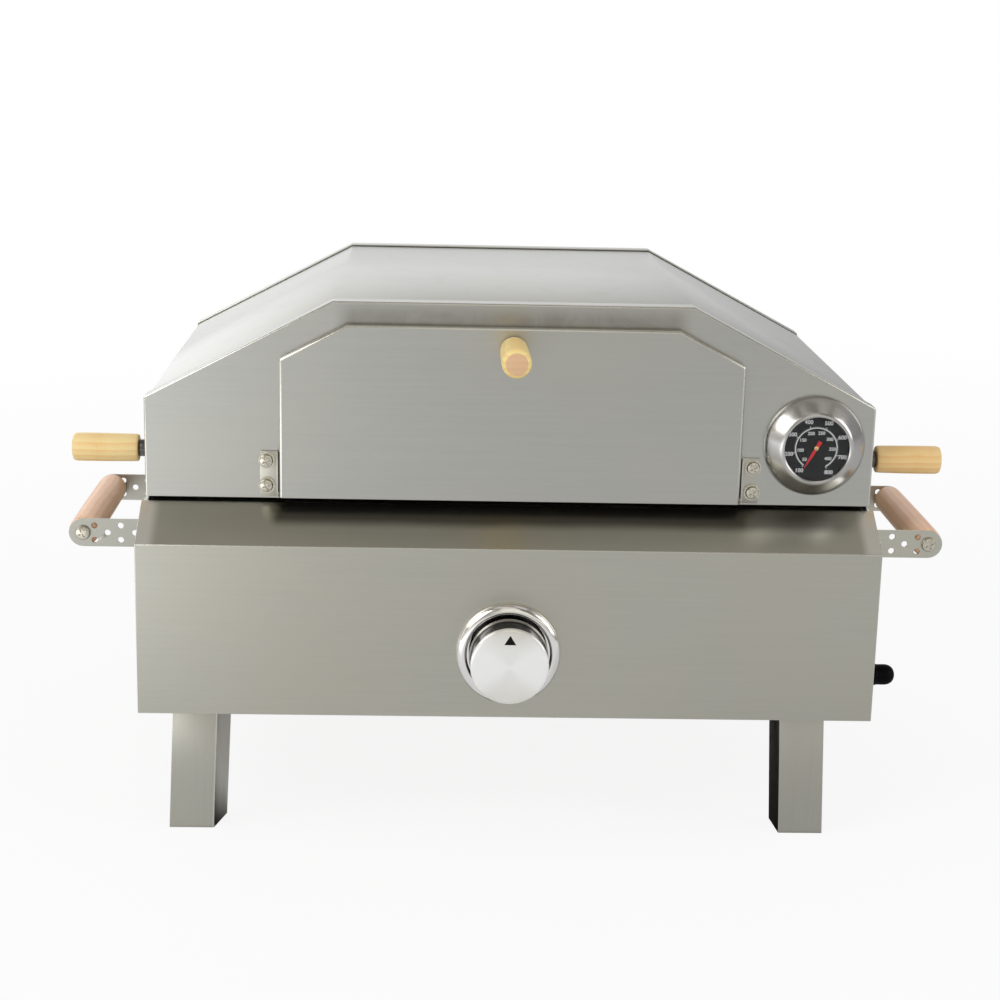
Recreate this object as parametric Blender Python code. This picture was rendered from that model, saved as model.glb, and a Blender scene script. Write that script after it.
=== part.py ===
"""Tabletop propane pizza oven, built as separate pieces on their real joints.

Units are metres and +Z is up.  Inside this script every place is measured from
the lower front edge of the body: x from the middle, y back from the front face
and z up from the ground.  An empty called oven then moves the whole model so
that the origin lies on the ground under the middle of its bounding box.
"""
import math

import bmesh
import bpy
from mathutils import Matrix, Vector

# Fits
GAP = 0.0003          # space between two pieces that touch
OVERRUN = 0.003       # how far a cutter runs past the faces that it cuts
SHEET = 0.001         # stainless sheet of the body, the lid and the door
STRAP = 0.0015        # thicker strap of the brackets and the legs
BOLT_RADIUS = 0.0022  # small bolts and screws
BOLT_PLAY = 0.0004    # how much wider than its bolt a hole is, on the radius
BOLT_DOME_SHARE = 0.7 # flat end of a domed head, as a share of its radius
MERGE = 0.000003      # points closer than this are one

# Body
BODY_WIDTH = 0.540
BODY_DEPTH = 0.390
GROUND_TO_SKIRT = 0.092
FRONT_HEIGHT = 0.128
SILL_DEPTH = 0.040
SILL_RISE = 0.020
SILL_LIP = 0.010
SILL_OVER = 0.003       # sill's rear edge above the rim
SKIRT_RETURN = 0.005
FRAME_BORDER_X = 0.035
FRAME_BORDER_Y = 0.022
FRAME_LIP = 0.010
VENT_COUNT = 6
VENT_LENGTH = 0.044
VENT_HEIGHT = 0.007
VENT_PITCH = 0.066
VENT_DROP = 0.045

# Floor and heat shield
FLOOR_EDGE = 0.009
SHIELD_DEPTH = 0.074
SHIELD_TOP_SPACE = 0.0147   # below the rim
SHIELD_FOOT = 0.012
SHIELD_END_SPACE = 0.030

# Lid
LID_LIFT = 0.006        # end panels above the rim
LID_HEIGHT = 0.146
LID_INSET = 0.003       # from the side of the body
LID_SLOPE_RISE = 0.072
LID_SLOPE_RUN = 0.1365
LID_RIM_DEPTH = 0.014

# Door and its opening
DOOR_LIFT = 0.0015      # above the lower edge of the lid's front panel
DOOR_TOP_SPACE = 0.0159 # below the top of the lid
DOOR_CORNER_DROP = 0.0257
DOOR_CORNER_INSET = 0.0485
DOOR_SPACE = 0.0005     # between the door's flanges and the panel
DOOR_DEPTH = 0.0065
DOOR_FOOT_DEPTH = 0.0049
DOOR_FOOT_HEIGHT = 0.0060
DOOR_FOOT_SLOPE = 0.0060
DOOR_LAP = 0.011
DOOR_SILL = 0.010
DOOR_PIVOT_RISE = 0.0030
DOOR_PIVOT_SETBACK = 0.0034
PIVOT_RADIUS = 0.00125
PIVOT_PLAY = 0.00025
PIVOT_REACH = 0.003

# Door brackets
BRACKET_WIDTH = 0.0135
BRACKET_HEIGHT = 0.034
BRACKET_SPACE = 0.0005
BRACKET_BOLT_OUT = 0.0088
BRACKET_BOLT_HEIGHTS = (0.0085, 0.0270)
BRACKET_HEAD_RADIUS = 0.0050
BRACKET_HEAD_HEIGHT = 0.0036
NUT_RADIUS = 0.0045
NUT_HEIGHT = 0.0028

# Wooden pegs
PEG_LENGTH = 0.048
PEG_RADIUS = 0.0107
PEG_CURVE_SHARES = (
    (0.0, 0.84), (0.25, 0.91), (0.5, 0.97), (0.7, 1.0), (0.86, 0.98), (0.96, 0.86), (1.0, 0.66),
)
PEG_BORE_SHARE = 0.7
DOOR_PEG_DROP = 0.0158  # below the top of the door
DOOR_PEG_LENGTH = 0.058
DOOR_PEG_CURVE_SHARES = (
    (0.0, 0.90), (0.25, 0.96), (0.5, 1.0), (0.9, 1.0), (0.955, 0.95), (0.985, 0.84), (1.0, 0.72),
)
DOOR_WASHER_RADIUS = 0.0094
DOOR_WASHER_HEIGHT = 0.0026
SIDE_PEG_SETBACK = 0.026
SIDE_PEG_HEIGHT = 0.036
SIDE_SPACER_LENGTH = 0.0083
SIDE_SPACER_RADIUS = 0.0065

# Thermometer
CASE_RADIUS = 0.0375
CASE_LOW_SPACE = 0.0140   # to the wrap's lower edge
CASE_EDGE_SPACE = 0.007   # to the lid's edge
CASE_NEAR_SPACE = 0.002   # to the door's bracket
CASE_DEPTH = 0.0145
CASE_RIM_RADIUS = 0.0255
CASE_DOME_SHARES = ((1.0, 0.12), (0.92, 0.42), (0.83, 0.66), (0.75, 0.84))
DIAL_RADIUS = 0.0235
DIAL_RECESS = 0.0042
DIAL_THICKNESS = 0.0008
GLASS_THICKNESS = 0.0012
GLASS_SETBACK = 0.0008
PROBE_RADIUS = 0.003
PROBE_LENGTH = 0.060
THREAD_RADIUS = 0.005
THREAD_LENGTH = 0.010
DIAL_NUT_RADIUS = 0.009
DIAL_NUT_HEIGHT = 0.004
HUB_RADIUS = 0.0016
NEEDLE_LENGTH = 0.0165
NEEDLE_TAIL = 0.0055
NEEDLE_WIDTH = 0.0013
NEEDLE_THICKNESS = 0.0005
NEEDLE_TIP_SHARE = 0.33
NEEDLE_COLD_ANGLE = math.radians(151.0)

# Lid hinges
HINGE_INSET = 0.110      # from the side of the body
HINGE_WIDTH = 0.044
HINGE_HEIGHT = 0.030
HINGE_PIN_RADIUS = 0.0015
HINGE_KNUCKLE_RADIUS = 0.0032
HINGE_PLAY = 0.0003
HINGE_MIDDLE_SHARE = 0.36

# Control knob and gas valve
KNOB_RADIUS = 0.0275
KNOB_REACH = 0.034
KNOB_CAP_DEPTH = 0.0045
KNOB_CROWN = 0.0012
KNOB_FACE_SHARES = (0.93, 0.6, 0.3)
KNOB_CHAMFER = 0.0015
SKIRT_RING_RADIUS = 0.0290
SKIRT_RING_REAR = 0.0075
SKIRT_NECK_RADIUS = 0.0180
SKIRT_BORE_DEPTH = 0.013
SKIRT_RIM = 0.0015
BEZEL_RADIUS = 0.0373
BEZEL_INNER_RADIUS = 0.0310
BEZEL_DEPTH = 0.0070
BEZEL_FLOOR = 0.0012
BEZEL_HOLE_RADIUS = 0.012
BEZEL_CURVE_SHARES = ((0.0, 0.3), (0.2, 0.8), (0.5, 1.0), (0.8, 0.8), (1.0, 0.3))
STEM_RADIUS = 0.003
STEM_HOLE_RADIUS = 0.009
STEM_PUSH = 0.003
STEM_REACH = 0.019
STEM_TAIL = 0.012
PUSH_RING_RADIUS = 0.0047
PUSH_RING_DEPTH = 0.003
VALVE_HALF_WIDTH = 0.012
VALVE_HALF_HEIGHT = 0.011
VALVE_FRONT = 0.003
VALVE_NECK_RADIUS = 0.008
VALVE_NECK = 0.012
VALVE_BODY = 0.028
VALVE_BORE_DEPTH = 0.019
VALVE_BOSS_RADIUS = 0.0065
VALVE_BOSS_LENGTH = 0.008
SPOUT_RADIUS = 0.005
SPOUT_LENGTH = 0.006
JET_RADIUS = 0.0042
JET_TIP_RADIUS = 0.0026
JET_LENGTH = 0.008
JET_BORE_RADIUS = 0.0009

# Gas pipe and inlet
PIPE_RADIUS = 0.004
PIPE_BEND = 0.012
PIPE_INSET = 0.0135      # from the pipe's drop to the outside of the body
PIPE_HOLE_PLAY = 0.0016
INLET_SETBACK = 0.055
INLET_HEIGHT = 0.018     # above the lower edge of the skirt
INLET_THREAD_RADIUS = 0.006
INLET_FLANGE_RADIUS = 0.0085
INLET_FLANGE_DEPTH = 0.005
INLET_NUT_DEPTH = 0.003
INLET_SPIGOT_RADIUS = 0.0058
INLET_SPIGOT_LENGTH = 0.011
INLET_BORE_RADIUS = 0.0025
CAP_RADIUS = 0.0083
CAP_LENGTH = 0.0222
CAP_DOME = 0.005
CAP_DOME_STEPS = 3

# Burner
BURNER_RADIUS = 0.010
BURNER_WALL = 0.001
CROSS_SHARE = 0.9        # radius of the cross tube, as a share of the arms'
NECK_SHARE = 0.8
BURNER_SIDE_SPACE = 0.120   # from an arm's middle to the outside of the body
CROSS_SETBACK = 0.056       # behind the heat shield
BURNER_BACK_SPACE = 0.055
MIXER_RADIUS = 0.0105
MIXER_FLOOR_SPACE = 0.0012
MIXER_LEAD = 0.016          # in front of the heat shield
PORT_COUNT = 8
PORT_RADIUS = 0.0014
SHUTTER_LENGTH = 0.012
SHUTTER_WALL = 0.001
SHUTTER_SPACE = 0.003
SHIELD_HOLE_PLAY = 0.002
BRACKET_FOOT = 0.016
BRACKET_PLATE_WIDTH = 0.022

# Igniter
ELECTRODE_INSET = 0.021
ELECTRODE_SETBACK = 0.070   # behind the cross tube
ELECTRODE_RADIUS = 0.004
ELECTRODE_HEIGHT = 0.020
ELECTRODE_FLANGE = 0.0065
SPARK_RADIUS = 0.001
SPARK_HEIGHT = 0.014
WIRE_RADIUS = 0.0012
WIRE_HOLE_RADIUS = 0.0024
WIRE_X = 0.060
WIRE_LIFT = 0.0018      # middle of the wire above the floor
WIRE_BEND = 0.010

# Stone and rack
STONE_SPACE = 0.010       # to the lid's front and back
STONE_THICKNESS = 0.012
STONE_CORNER = 0.015
STONE_CORNER_STEPS = 4
STONE_LIFT = 0.030
RACK_BAR_WIDTH = 0.016
RACK_BAR_HEIGHT = 0.003
RACK_OVERLAP = 0.011
RACK_SPREAD_SHARE = 0.55

# Legs, set in from the side of the body at their tops
LEG_INSETS = {"left": 0.0248, "right": 0.0340}
LEG_WIDTH = 0.033
LEG_SETBACK = 0.006
LEG_SPLAY = 0.0040
LEG_WEB_TOP = 0.032
LEG_WEB_FOOT = 0.028
LEG_WEB_FLARES = {"left": 0.0070, "right": 0.0027}
LEG_TOP_RISE = 0.003    # flange above the lower edge of the skirt
LEG_PIVOT_RISE = 0.014
LEG_PIVOT_BACK = 0.012
LEG_LUG_RADIUS = 0.010
LEG_BOLT_RADIUS = 0.003
LEG_BOLT_HEAD_RADIUS = 0.0055
LEG_BOLT_HEAD = 0.003
LEG_BRACKET_WIDTH = 0.018
LEG_BRACKET_FOOT = 0.014
LEG_BRACKET_DROP = 0.006
LEG_FOLD_SPACE = 0.002    # between a folded leg and the floor

# Carry handles
CARRY_DROP = 0.023       # below the rim
CARRY_SETBACK = 0.002    # behind the sill
CARRY_LENGTH = 0.142
CARRY_PLATE_HALF = 0.0105
CARRY_REACH = 0.0435     # from the side panel to the middle of the grip
CARRY_HOLE_RADIUS = 0.0024
CARRY_HOLE_SHARES = ((0.12, 0.0), (0.36, 0.52), (0.36, -0.52), (0.58, 0.0), (0.80, 0.52), (0.80, -0.52))
GRIP_RADIUS = 0.0115
GRIP_ROUND = 0.003
ROD_DOME_SHARE = 0.6
ROD_RADIUS = 0.0023
ROD_HEAD_RADIUS = 0.0042
ROD_HEAD_HEIGHT = 0.0030

# Round pieces: sides of a circle
FINE_STEPS = 32
ROUND_STEPS = 16
SMALL_STEPS = 10
HOLE_STEPS = 8
HEX_SIDES = 6
BEND_STEPS = 4
SHARP_ANGLE = math.radians(32.0)

# Levels and planes that several pieces share
HALF_WIDTH = BODY_WIDTH / 2
SKIRT_Z = GROUND_TO_SKIRT
FRONT_TOP_Z = SKIRT_Z + FRONT_HEIGHT
RIM_Z = FRONT_TOP_Z + SILL_RISE
LEG_PIVOT_Z = SKIRT_Z + LEG_PIVOT_RISE
FLOOR_Z = LEG_PIVOT_Z + LEG_WEB_TOP - LEG_PIVOT_BACK + LEG_FOLD_SPACE
FLOOR_TOP_Z = FLOOR_Z + SHEET
KNOB_Z = FLOOR_TOP_Z + MIXER_FLOOR_SPACE + SHUTTER_WALL + GAP + MIXER_RADIUS
WRAP_Z = RIM_Z + GAP
PANEL_Z = RIM_Z + LID_LIFT
LID_FRONT_Y = SILL_DEPTH
LID_BACK_Y = BODY_DEPTH
DOOR_BACK_Y = LID_FRONT_Y - DOOR_SPACE
DOOR_FRONT_Y = DOOR_BACK_Y - DOOR_DEPTH
LID_WIDTH = BODY_WIDTH - LID_INSET * 2
LID_TOP_WIDTH = LID_WIDTH - LID_SLOPE_RUN * 2
LID_EAVE = LID_HEIGHT - LID_SLOPE_RISE
WRAP_INSET = SHEET + GAP
DIAL_X = LID_WIDTH / 2 - CASE_EDGE_SPACE - CASE_RADIUS
BRACKET_OUTER_X = DIAL_X - CASE_RADIUS - CASE_NEAR_SPACE
DOOR_WIDTH = (BRACKET_OUTER_X - BRACKET_WIDTH - BRACKET_SPACE) * 2
DOOR_TOP_WIDTH = DOOR_WIDTH - DOOR_CORNER_INSET * 2
DOOR_HEIGHT = LID_HEIGHT - DOOR_TOP_SPACE - DOOR_LIFT
DOOR_SIDE_HEIGHT = DOOR_HEIGHT - DOOR_CORNER_DROP
DOOR_Z = PANEL_Z + DOOR_LIFT
DOOR_PIVOT_Y = DOOR_FRONT_Y + DOOR_PIVOT_SETBACK
DOOR_PIVOT_Z = DOOR_Z + DOOR_PIVOT_RISE
DOOR_PEG_Z = DOOR_Z + DOOR_HEIGHT - DOOR_PEG_DROP
HINGE_PLATE_Y = BODY_DEPTH + GAP
HINGE_AXIS_Y = HINGE_PLATE_Y + HINGE_KNUCKLE_RADIUS
HINGE_AXIS_Z = RIM_Z + GAP + HINGE_KNUCKLE_RADIUS
DIAL_Z = WRAP_Z + CASE_LOW_SPACE + CASE_RADIUS
RACK_Z = RIM_Z + GAP
STONE_Z = RACK_Z + RACK_BAR_HEIGHT + GAP
STONE_SIZE = LID_BACK_Y - LID_FRONT_Y - STONE_SPACE * 2
OVEN_MIDDLE_Y = (LID_FRONT_Y + LID_BACK_Y) / 2
HINGE_X = HALF_WIDTH - HINGE_INSET
BURNER_HALF_WIDTH = HALF_WIDTH - BURNER_SIDE_SPACE
BURNER_CROSS_Y = SHIELD_DEPTH + CROSS_SETBACK
BURNER_BACK_Y = BODY_DEPTH - BURNER_BACK_SPACE
MIXER_FRONT_Y = SHIELD_DEPTH - MIXER_LEAD
ELECTRODE_Y = BURNER_CROSS_Y + ELECTRODE_SETBACK
PIPE_TURN_X = HALF_WIDTH - PIPE_INSET
CARRY_X = HALF_WIDTH + CARRY_REACH
CARRY_Z = RIM_Z - CARRY_DROP
CARRY_FRONT_Y = SILL_DEPTH + CARRY_SETBACK
INLET_Z = SKIRT_Z + INLET_HEIGHT
BACK_REACH = HINGE_AXIS_Y + HINGE_KNUCKLE_RADIUS
MIDDLE_OF_BOX_Y = (BACK_REACH - KNOB_REACH) / 2

SIDES = (("left", -1), ("right", 1))


# Scene helpers

def clear_scene():
    for item in list(bpy.data.objects):
        bpy.data.objects.remove(item, do_unlink=True)


def material(name, colour, metallic, roughness):
    """A Principled material, made once and then shared."""
    found = bpy.data.materials.get(name)
    if found:
        return found
    made = bpy.data.materials.new(name)
    made.use_nodes = True
    shader = made.node_tree.nodes["Principled BSDF"]
    shader.inputs["Base Color"].default_value = (*colour, 1.0)
    shader.inputs["Metallic"].default_value = metallic
    shader.inputs["Roughness"].default_value = roughness
    made.diffuse_color = (*colour, 1.0)
    return made


def brushed_steel():
    return material("brushed_steel", (0.52, 0.52, 0.49), 1.0, 0.35)


def polished_steel():
    return material("polished_steel", (0.78, 0.78, 0.77), 1.0, 0.08)


def plain_steel():
    return material("plain_steel", (0.45, 0.45, 0.44), 1.0, 0.45)


def brass():
    return material("brass", (0.72, 0.53, 0.22), 1.0, 0.30)


def pine():
    return material("pine", (0.80, 0.58, 0.33), 0.0, 0.55)


def black_plastic():
    return material("black_plastic", (0.012, 0.012, 0.012), 0.0, 0.40)


def dial_paint():
    return material("dial_paint", (0.010, 0.010, 0.011), 0.0, 0.50)


def needle_paint():
    return material("needle_paint", (0.60, 0.02, 0.02), 0.0, 0.40)


def clear_glass():
    return material("clear_glass", (0.92, 0.94, 0.94), 0.0, 0.04)


def cordierite():
    return material("cordierite", (0.72, 0.64, 0.50), 0.0, 0.85)


def white_ceramic():
    return material("white_ceramic", (0.85, 0.84, 0.80), 0.0, 0.35)


def wire_cover():
    return material("wire_cover", (0.05, 0.05, 0.05), 0.0, 0.60)


class Frame:
    """An empty that pieces hang from, with its place in oven coordinates."""

    def __init__(self, name, at=(0, 0, 0), parent=None):
        self.at = Vector(at)
        self.empty = bpy.data.objects.new(name, None)
        bpy.context.scene.collection.objects.link(self.empty)
        self.empty.location = self.at
        if parent:
            self.empty.parent = parent.empty
            self.empty.location = self.at - parent.at


def add_object(name, shape, frame):
    """Link a bmesh as an object whose origin is the frame's own place."""
    bmesh.ops.recalc_face_normals(shape, faces=shape.faces)
    mesh = bpy.data.meshes.new(name)
    shape.to_mesh(mesh)
    shape.free()
    mesh.transform(Matrix.Translation(-frame.at))
    made = bpy.data.objects.new(name, mesh)
    bpy.context.scene.collection.objects.link(made)
    made.parent = frame.empty
    return made


def as_piece(item, finish, smooth=False):
    item.data.materials.append(finish)
    if smooth:
        item.data.shade_smooth()
        item.data.set_sharp_from_angle(angle=SHARP_ANGLE)
    return item


def as_tool(item):
    item.hide_render = True
    item.display_type = "WIRE"
    return item


def boolean(item, tool, operation):
    step = item.modifiers.new(tool.name, "BOOLEAN")
    step.operation = operation
    step.solver = "EXACT"
    step.object = as_tool(tool)
    return item


def cut(item, *tools):
    for tool in tools:
        boolean(item, tool, "DIFFERENCE")
    return item


def fuse(item, *tools):
    for tool in tools:
        boolean(item, tool, "UNION")
    return item


# Shape helpers: each returns or fills a bmesh in oven coordinates

def extrude_outline(shape, points, way):
    """Fill an outline of 3-D points and extrude it by the vector way."""
    corners = [shape.verts.new(point) for point in points]
    face = shape.faces.new(corners)
    grown = bmesh.ops.extrude_face_region(shape, geom=[face])
    moved = [item for item in grown["geom"] if isinstance(item, bmesh.types.BMVert)]
    bmesh.ops.translate(shape, vec=Vector(way), verts=moved)


def prism(outline, axis, start, end):
    """A prism of a 2-D outline: axis x takes (y, z), axis y (x, z), axis z (x, y)."""
    shape = bmesh.new()
    add_prism(shape, outline, axis, start, end)
    return shape


def add_prism(shape, outline, axis, start, end):
    length = end - start
    if axis == "x":
        extrude_outline(shape, [(start, a, b) for a, b in outline], (length, 0, 0))
    elif axis == "y":
        extrude_outline(shape, [(a, start, b) for a, b in outline], (0, length, 0))
    else:
        extrude_outline(shape, [(a, b, start) for a, b in outline], (0, 0, length))


def box(x_range, y_range, z_range):
    shape = bmesh.new()
    add_box(shape, x_range, y_range, z_range)
    return shape


def add_box(shape, x_range, y_range, z_range):
    (x0, x1), (y0, y1), (z0, z1) = x_range, y_range, z_range
    add_prism(shape, [(x0, y0), (x1, y0), (x1, y1), (x0, y1)], "z", z0, z1)


AXIS_TURNS = {
    "x": Matrix.Rotation(math.radians(90.0), 4, "Y"),
    "-x": Matrix.Rotation(math.radians(-90.0), 4, "Y"),
    "y": Matrix.Rotation(math.radians(-90.0), 4, "X"),
    "-y": Matrix.Rotation(math.radians(90.0), 4, "X"),
    "z": Matrix.Identity(4),
}


def add_turned(shape, profile, at, axis, steps=ROUND_STEPS):
    """Spin a closed (radius, height) profile round an axis that starts at a point."""
    ring = [shape.verts.new((radius, 0, height)) for radius, height in profile]
    count = len(ring)
    edges = [shape.edges.new((ring[i], ring[(i + 1) % count])) for i in range(count)]
    bmesh.ops.spin(shape, geom=ring + edges, cent=(0, 0, 0), axis=(0, 0, 1),
                   angle=math.tau, steps=steps, use_merge=True)
    bmesh.ops.remove_doubles(shape, verts=shape.verts, dist=MERGE)
    loose = [edge for edge in shape.edges if not edge.link_faces]
    bmesh.ops.delete(shape, geom=loose, context="EDGES")
    half_step = Matrix.Rotation(math.pi / steps, 4, "Z")
    bmesh.ops.transform(shape, matrix=Matrix.Translation(Vector(at)) @ AXIS_TURNS[axis] @ half_step,
                        verts=shape.verts)


def turned(profile, at, axis, steps=ROUND_STEPS):
    shape = bmesh.new()
    add_turned(shape, profile, at, axis, steps)
    return shape


def rod_profile(radius, start, end):
    return [(0, start), (radius, start), (radius, end), (0, end)]


def tube_profile(inner, outer, start, end):
    return [(inner, start), (outer, start), (outer, end), (inner, end)]


def rod(radius, start, end, at, axis, steps=ROUND_STEPS):
    return turned(rod_profile(radius, start, end), at, axis, steps)


def joined(parts):
    """One bmesh that holds several bmeshes, for a tool that cuts in many places."""
    whole = bmesh.new()
    for part in parts:
        mesh = bpy.data.meshes.new("part_of_tool")
        part.to_mesh(mesh)
        part.free()
        whole.from_mesh(mesh)
        bpy.data.meshes.remove(mesh)
    return whole


def mirrored_outline(right_half):
    """Outline of a shape that is the same on both sides of x = 0."""
    return right_half + [(-x, z) for x, z in reversed(right_half)]


def offset_point(before, corner, after, distance):
    """Corner of a line that runs at a distance to the left of two edges."""
    a, b, c = Vector(before), Vector(corner), Vector(after)
    first = (b - a).normalized()
    second = (c - b).normalized()
    normal_one = Vector((-first.y, first.x))
    normal_two = Vector((-second.y, second.x))
    bisector = (normal_one + normal_two).normalized()
    return tuple(b + bisector * (distance / bisector.dot(normal_one)))


def rounded_route(points, radius):
    """Points along straight runs whose corners are turned by arcs."""
    route = [Vector(points[0])]
    for i in range(1, len(points) - 1):
        corner = Vector(points[i])
        back = (Vector(points[i - 1]) - corner).normalized()
        ahead = (Vector(points[i + 1]) - corner).normalized()
        half = back.angle(ahead) / 2
        reach = radius / math.tan(half)
        centre = corner + (back + ahead).normalized() * (radius / math.sin(half))
        start = corner + back * reach - centre
        end = corner + ahead * reach - centre
        for step in range(BEND_STEPS + 1):
            route.append(centre + start.slerp(end, step / BEND_STEPS) * radius)
    route.append(Vector(points[-1]))
    return route


def tube_along(name, route, radius, frame, finish):
    curve = bpy.data.curves.new(name, "CURVE")
    curve.dimensions = "3D"
    curve.bevel_depth = radius
    curve.bevel_resolution = 2
    curve.use_fill_caps = True
    spline = curve.splines.new("POLY")
    spline.points.add(len(route) - 1)
    for point, place in zip(spline.points, route):
        point.co = (*(place - frame.at), 1.0)
    curve.materials.append(finish)
    made = bpy.data.objects.new(name, curve)
    bpy.context.scene.collection.objects.link(made)
    made.parent = frame.empty
    return made


# Body

def make_front_panel(frame):
    """Front face, sloped sill, lip and ends, folded from one sheet."""
    outer = [(0, SKIRT_Z), (0, FRONT_TOP_Z), (SILL_DEPTH, RIM_Z + SILL_OVER), (SILL_DEPTH, SKIRT_Z)]
    front = offset_point(outer[0], outer[1], outer[2], -SHEET)
    slope = Vector((SILL_DEPTH, SILL_RISE + SILL_OVER)).normalized()
    lip_y = SILL_DEPTH - SHEET
    under_lip = front[1] + (lip_y - front[0]) * slope.y / slope.x
    hollow = [
        (SHEET, SKIRT_Z + SHEET), front, (lip_y, under_lip), (lip_y, RIM_Z - SILL_LIP),
        (SILL_DEPTH + OVERRUN, RIM_Z - SILL_LIP), (SILL_DEPTH + OVERRUN, SKIRT_Z - OVERRUN),
        (SKIRT_RETURN, SKIRT_Z - OVERRUN), (SKIRT_RETURN, SKIRT_Z + SHEET),
    ]
    panel = add_object("front_panel", prism(outer, "x", -HALF_WIDTH, HALF_WIDTH), frame)
    inside = HALF_WIDTH - SHEET
    hollow_tool = add_object("front_panel_hollow", prism(hollow, "x", -inside, inside), frame)
    hole_tool = add_object("stem_hole", rod(STEM_HOLE_RADIUS, -OVERRUN, OVERRUN, (0, 0, KNOB_Z), "y"), frame)
    cut(panel, hollow_tool, hole_tool)
    as_piece(panel, brushed_steel())


def make_side_panels(frame):
    for side, sign in SIDES:
        x_range = sorted((sign * HALF_WIDTH, sign * (HALF_WIDTH - SHEET)))
        plate = box(x_range, (SILL_DEPTH + GAP, BODY_DEPTH - SHEET - GAP), (SKIRT_Z, RIM_Z - SHEET - GAP))
        panel = add_object("side_panel_" + side, plate, frame)
        if side == "right":
            at = (HALF_WIDTH, INLET_SETBACK, INLET_Z)
            hole = rod(INLET_THREAD_RADIUS + GAP, -OVERRUN, OVERRUN, at, "x")
            cut(panel, add_object("inlet_hole", hole, frame))
        as_piece(panel, brushed_steel())


def make_back_panel(frame):
    plate = box((-HALF_WIDTH, HALF_WIDTH), (BODY_DEPTH - SHEET, BODY_DEPTH), (SKIRT_Z, RIM_Z - SHEET - GAP))
    panel = add_object("back_panel", plate, frame)
    slots = bmesh.new()
    middle_z = RIM_Z - VENT_DROP
    for i in range(VENT_COUNT):
        x = (i - (VENT_COUNT - 1) / 2) * VENT_PITCH
        add_box(slots, (x - VENT_LENGTH / 2, x + VENT_LENGTH / 2),
                (BODY_DEPTH - SHEET - OVERRUN, BODY_DEPTH + OVERRUN),
                (middle_z - VENT_HEIGHT / 2, middle_z + VENT_HEIGHT / 2))
    cut(panel, add_object("vent_slots", slots, frame))
    as_piece(panel, brushed_steel())


def make_top_frame(frame):
    """Flat border round the fire opening, with a lip turned down inside it."""
    plate = box((-HALF_WIDTH, HALF_WIDTH), (SILL_DEPTH + GAP, BODY_DEPTH), (RIM_Z - SHEET, RIM_Z))
    x_open = HALF_WIDTH - FRAME_BORDER_X
    y_open = (SILL_DEPTH + FRAME_BORDER_Y, BODY_DEPTH - FRAME_BORDER_Y)
    lip = box((-x_open - SHEET, x_open + SHEET), (y_open[0] - SHEET, y_open[1] + SHEET),
              (RIM_Z - FRAME_LIP, RIM_Z - SHEET / 2))
    opening = box((-x_open, x_open), y_open, (RIM_Z - FRAME_LIP - OVERRUN, RIM_Z + OVERRUN))
    border = add_object("top_frame", plate, frame)
    fuse(border, add_object("frame_lip", lip, frame))
    cut(border, add_object("frame_opening", opening, frame))
    as_piece(border, brushed_steel())


def make_floor_pan(frame):
    """Floor over the folded legs, with its edges turned up against the walls."""
    x_edge = HALF_WIDTH - SHEET - GAP
    y_edges = (SHEET + GAP, BODY_DEPTH - SHEET - GAP)
    tray = box((-x_edge, x_edge), y_edges, (FLOOR_Z, FLOOR_TOP_Z + FLOOR_EDGE))
    hollow = box((-x_edge + SHEET, x_edge - SHEET), (y_edges[0] + SHEET, y_edges[1] - SHEET),
                 (FLOOR_TOP_Z, FLOOR_TOP_Z + FLOOR_EDGE + OVERRUN))
    hole = rod(PIPE_RADIUS + PIPE_HOLE_PLAY, -OVERRUN, OVERRUN, (PIPE_TURN_X, INLET_SETBACK, FLOOR_Z), "z")
    pan = add_object("floor_pan", tray, frame)
    cut(pan, add_object("pan_hollow", hollow, frame), add_object("pipe_hole", hole, frame))
    as_piece(pan, plain_steel())


def make_heat_shield(frame):
    """Plate that keeps the burner's heat off the valve."""
    x_edge = HALF_WIDTH - SHIELD_END_SPACE
    low = FLOOR_TOP_Z + GAP
    profile = [
        (SHIELD_DEPTH, low), (SHIELD_DEPTH + SHIELD_FOOT, low), (SHIELD_DEPTH + SHIELD_FOOT, low + SHEET),
        (SHIELD_DEPTH + SHEET, low + SHEET), (SHIELD_DEPTH + SHEET, RIM_Z - SHIELD_TOP_SPACE),
        (SHIELD_DEPTH, RIM_Z - SHIELD_TOP_SPACE),
    ]
    shield = add_object("heat_shield", prism(profile, "x", -x_edge, x_edge), frame)
    middle_y = SHIELD_DEPTH
    mixer = rod(BURNER_RADIUS + SHIELD_HOLE_PLAY, -OVERRUN, OVERRUN, (0, middle_y, KNOB_Z), "y")
    wire_z = FLOOR_TOP_Z + WIRE_LIFT
    wire_at = (-WIRE_X, middle_y, wire_z)
    wire = rod(WIRE_HOLE_RADIUS, -OVERRUN, SHIELD_FOOT + OVERRUN, wire_at, "y", HOLE_STEPS)
    cut(shield, add_object("mixer_hole", mixer, frame), add_object("wire_hole", wire, frame))
    as_piece(shield, plain_steel())


# Burner and igniter

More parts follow.
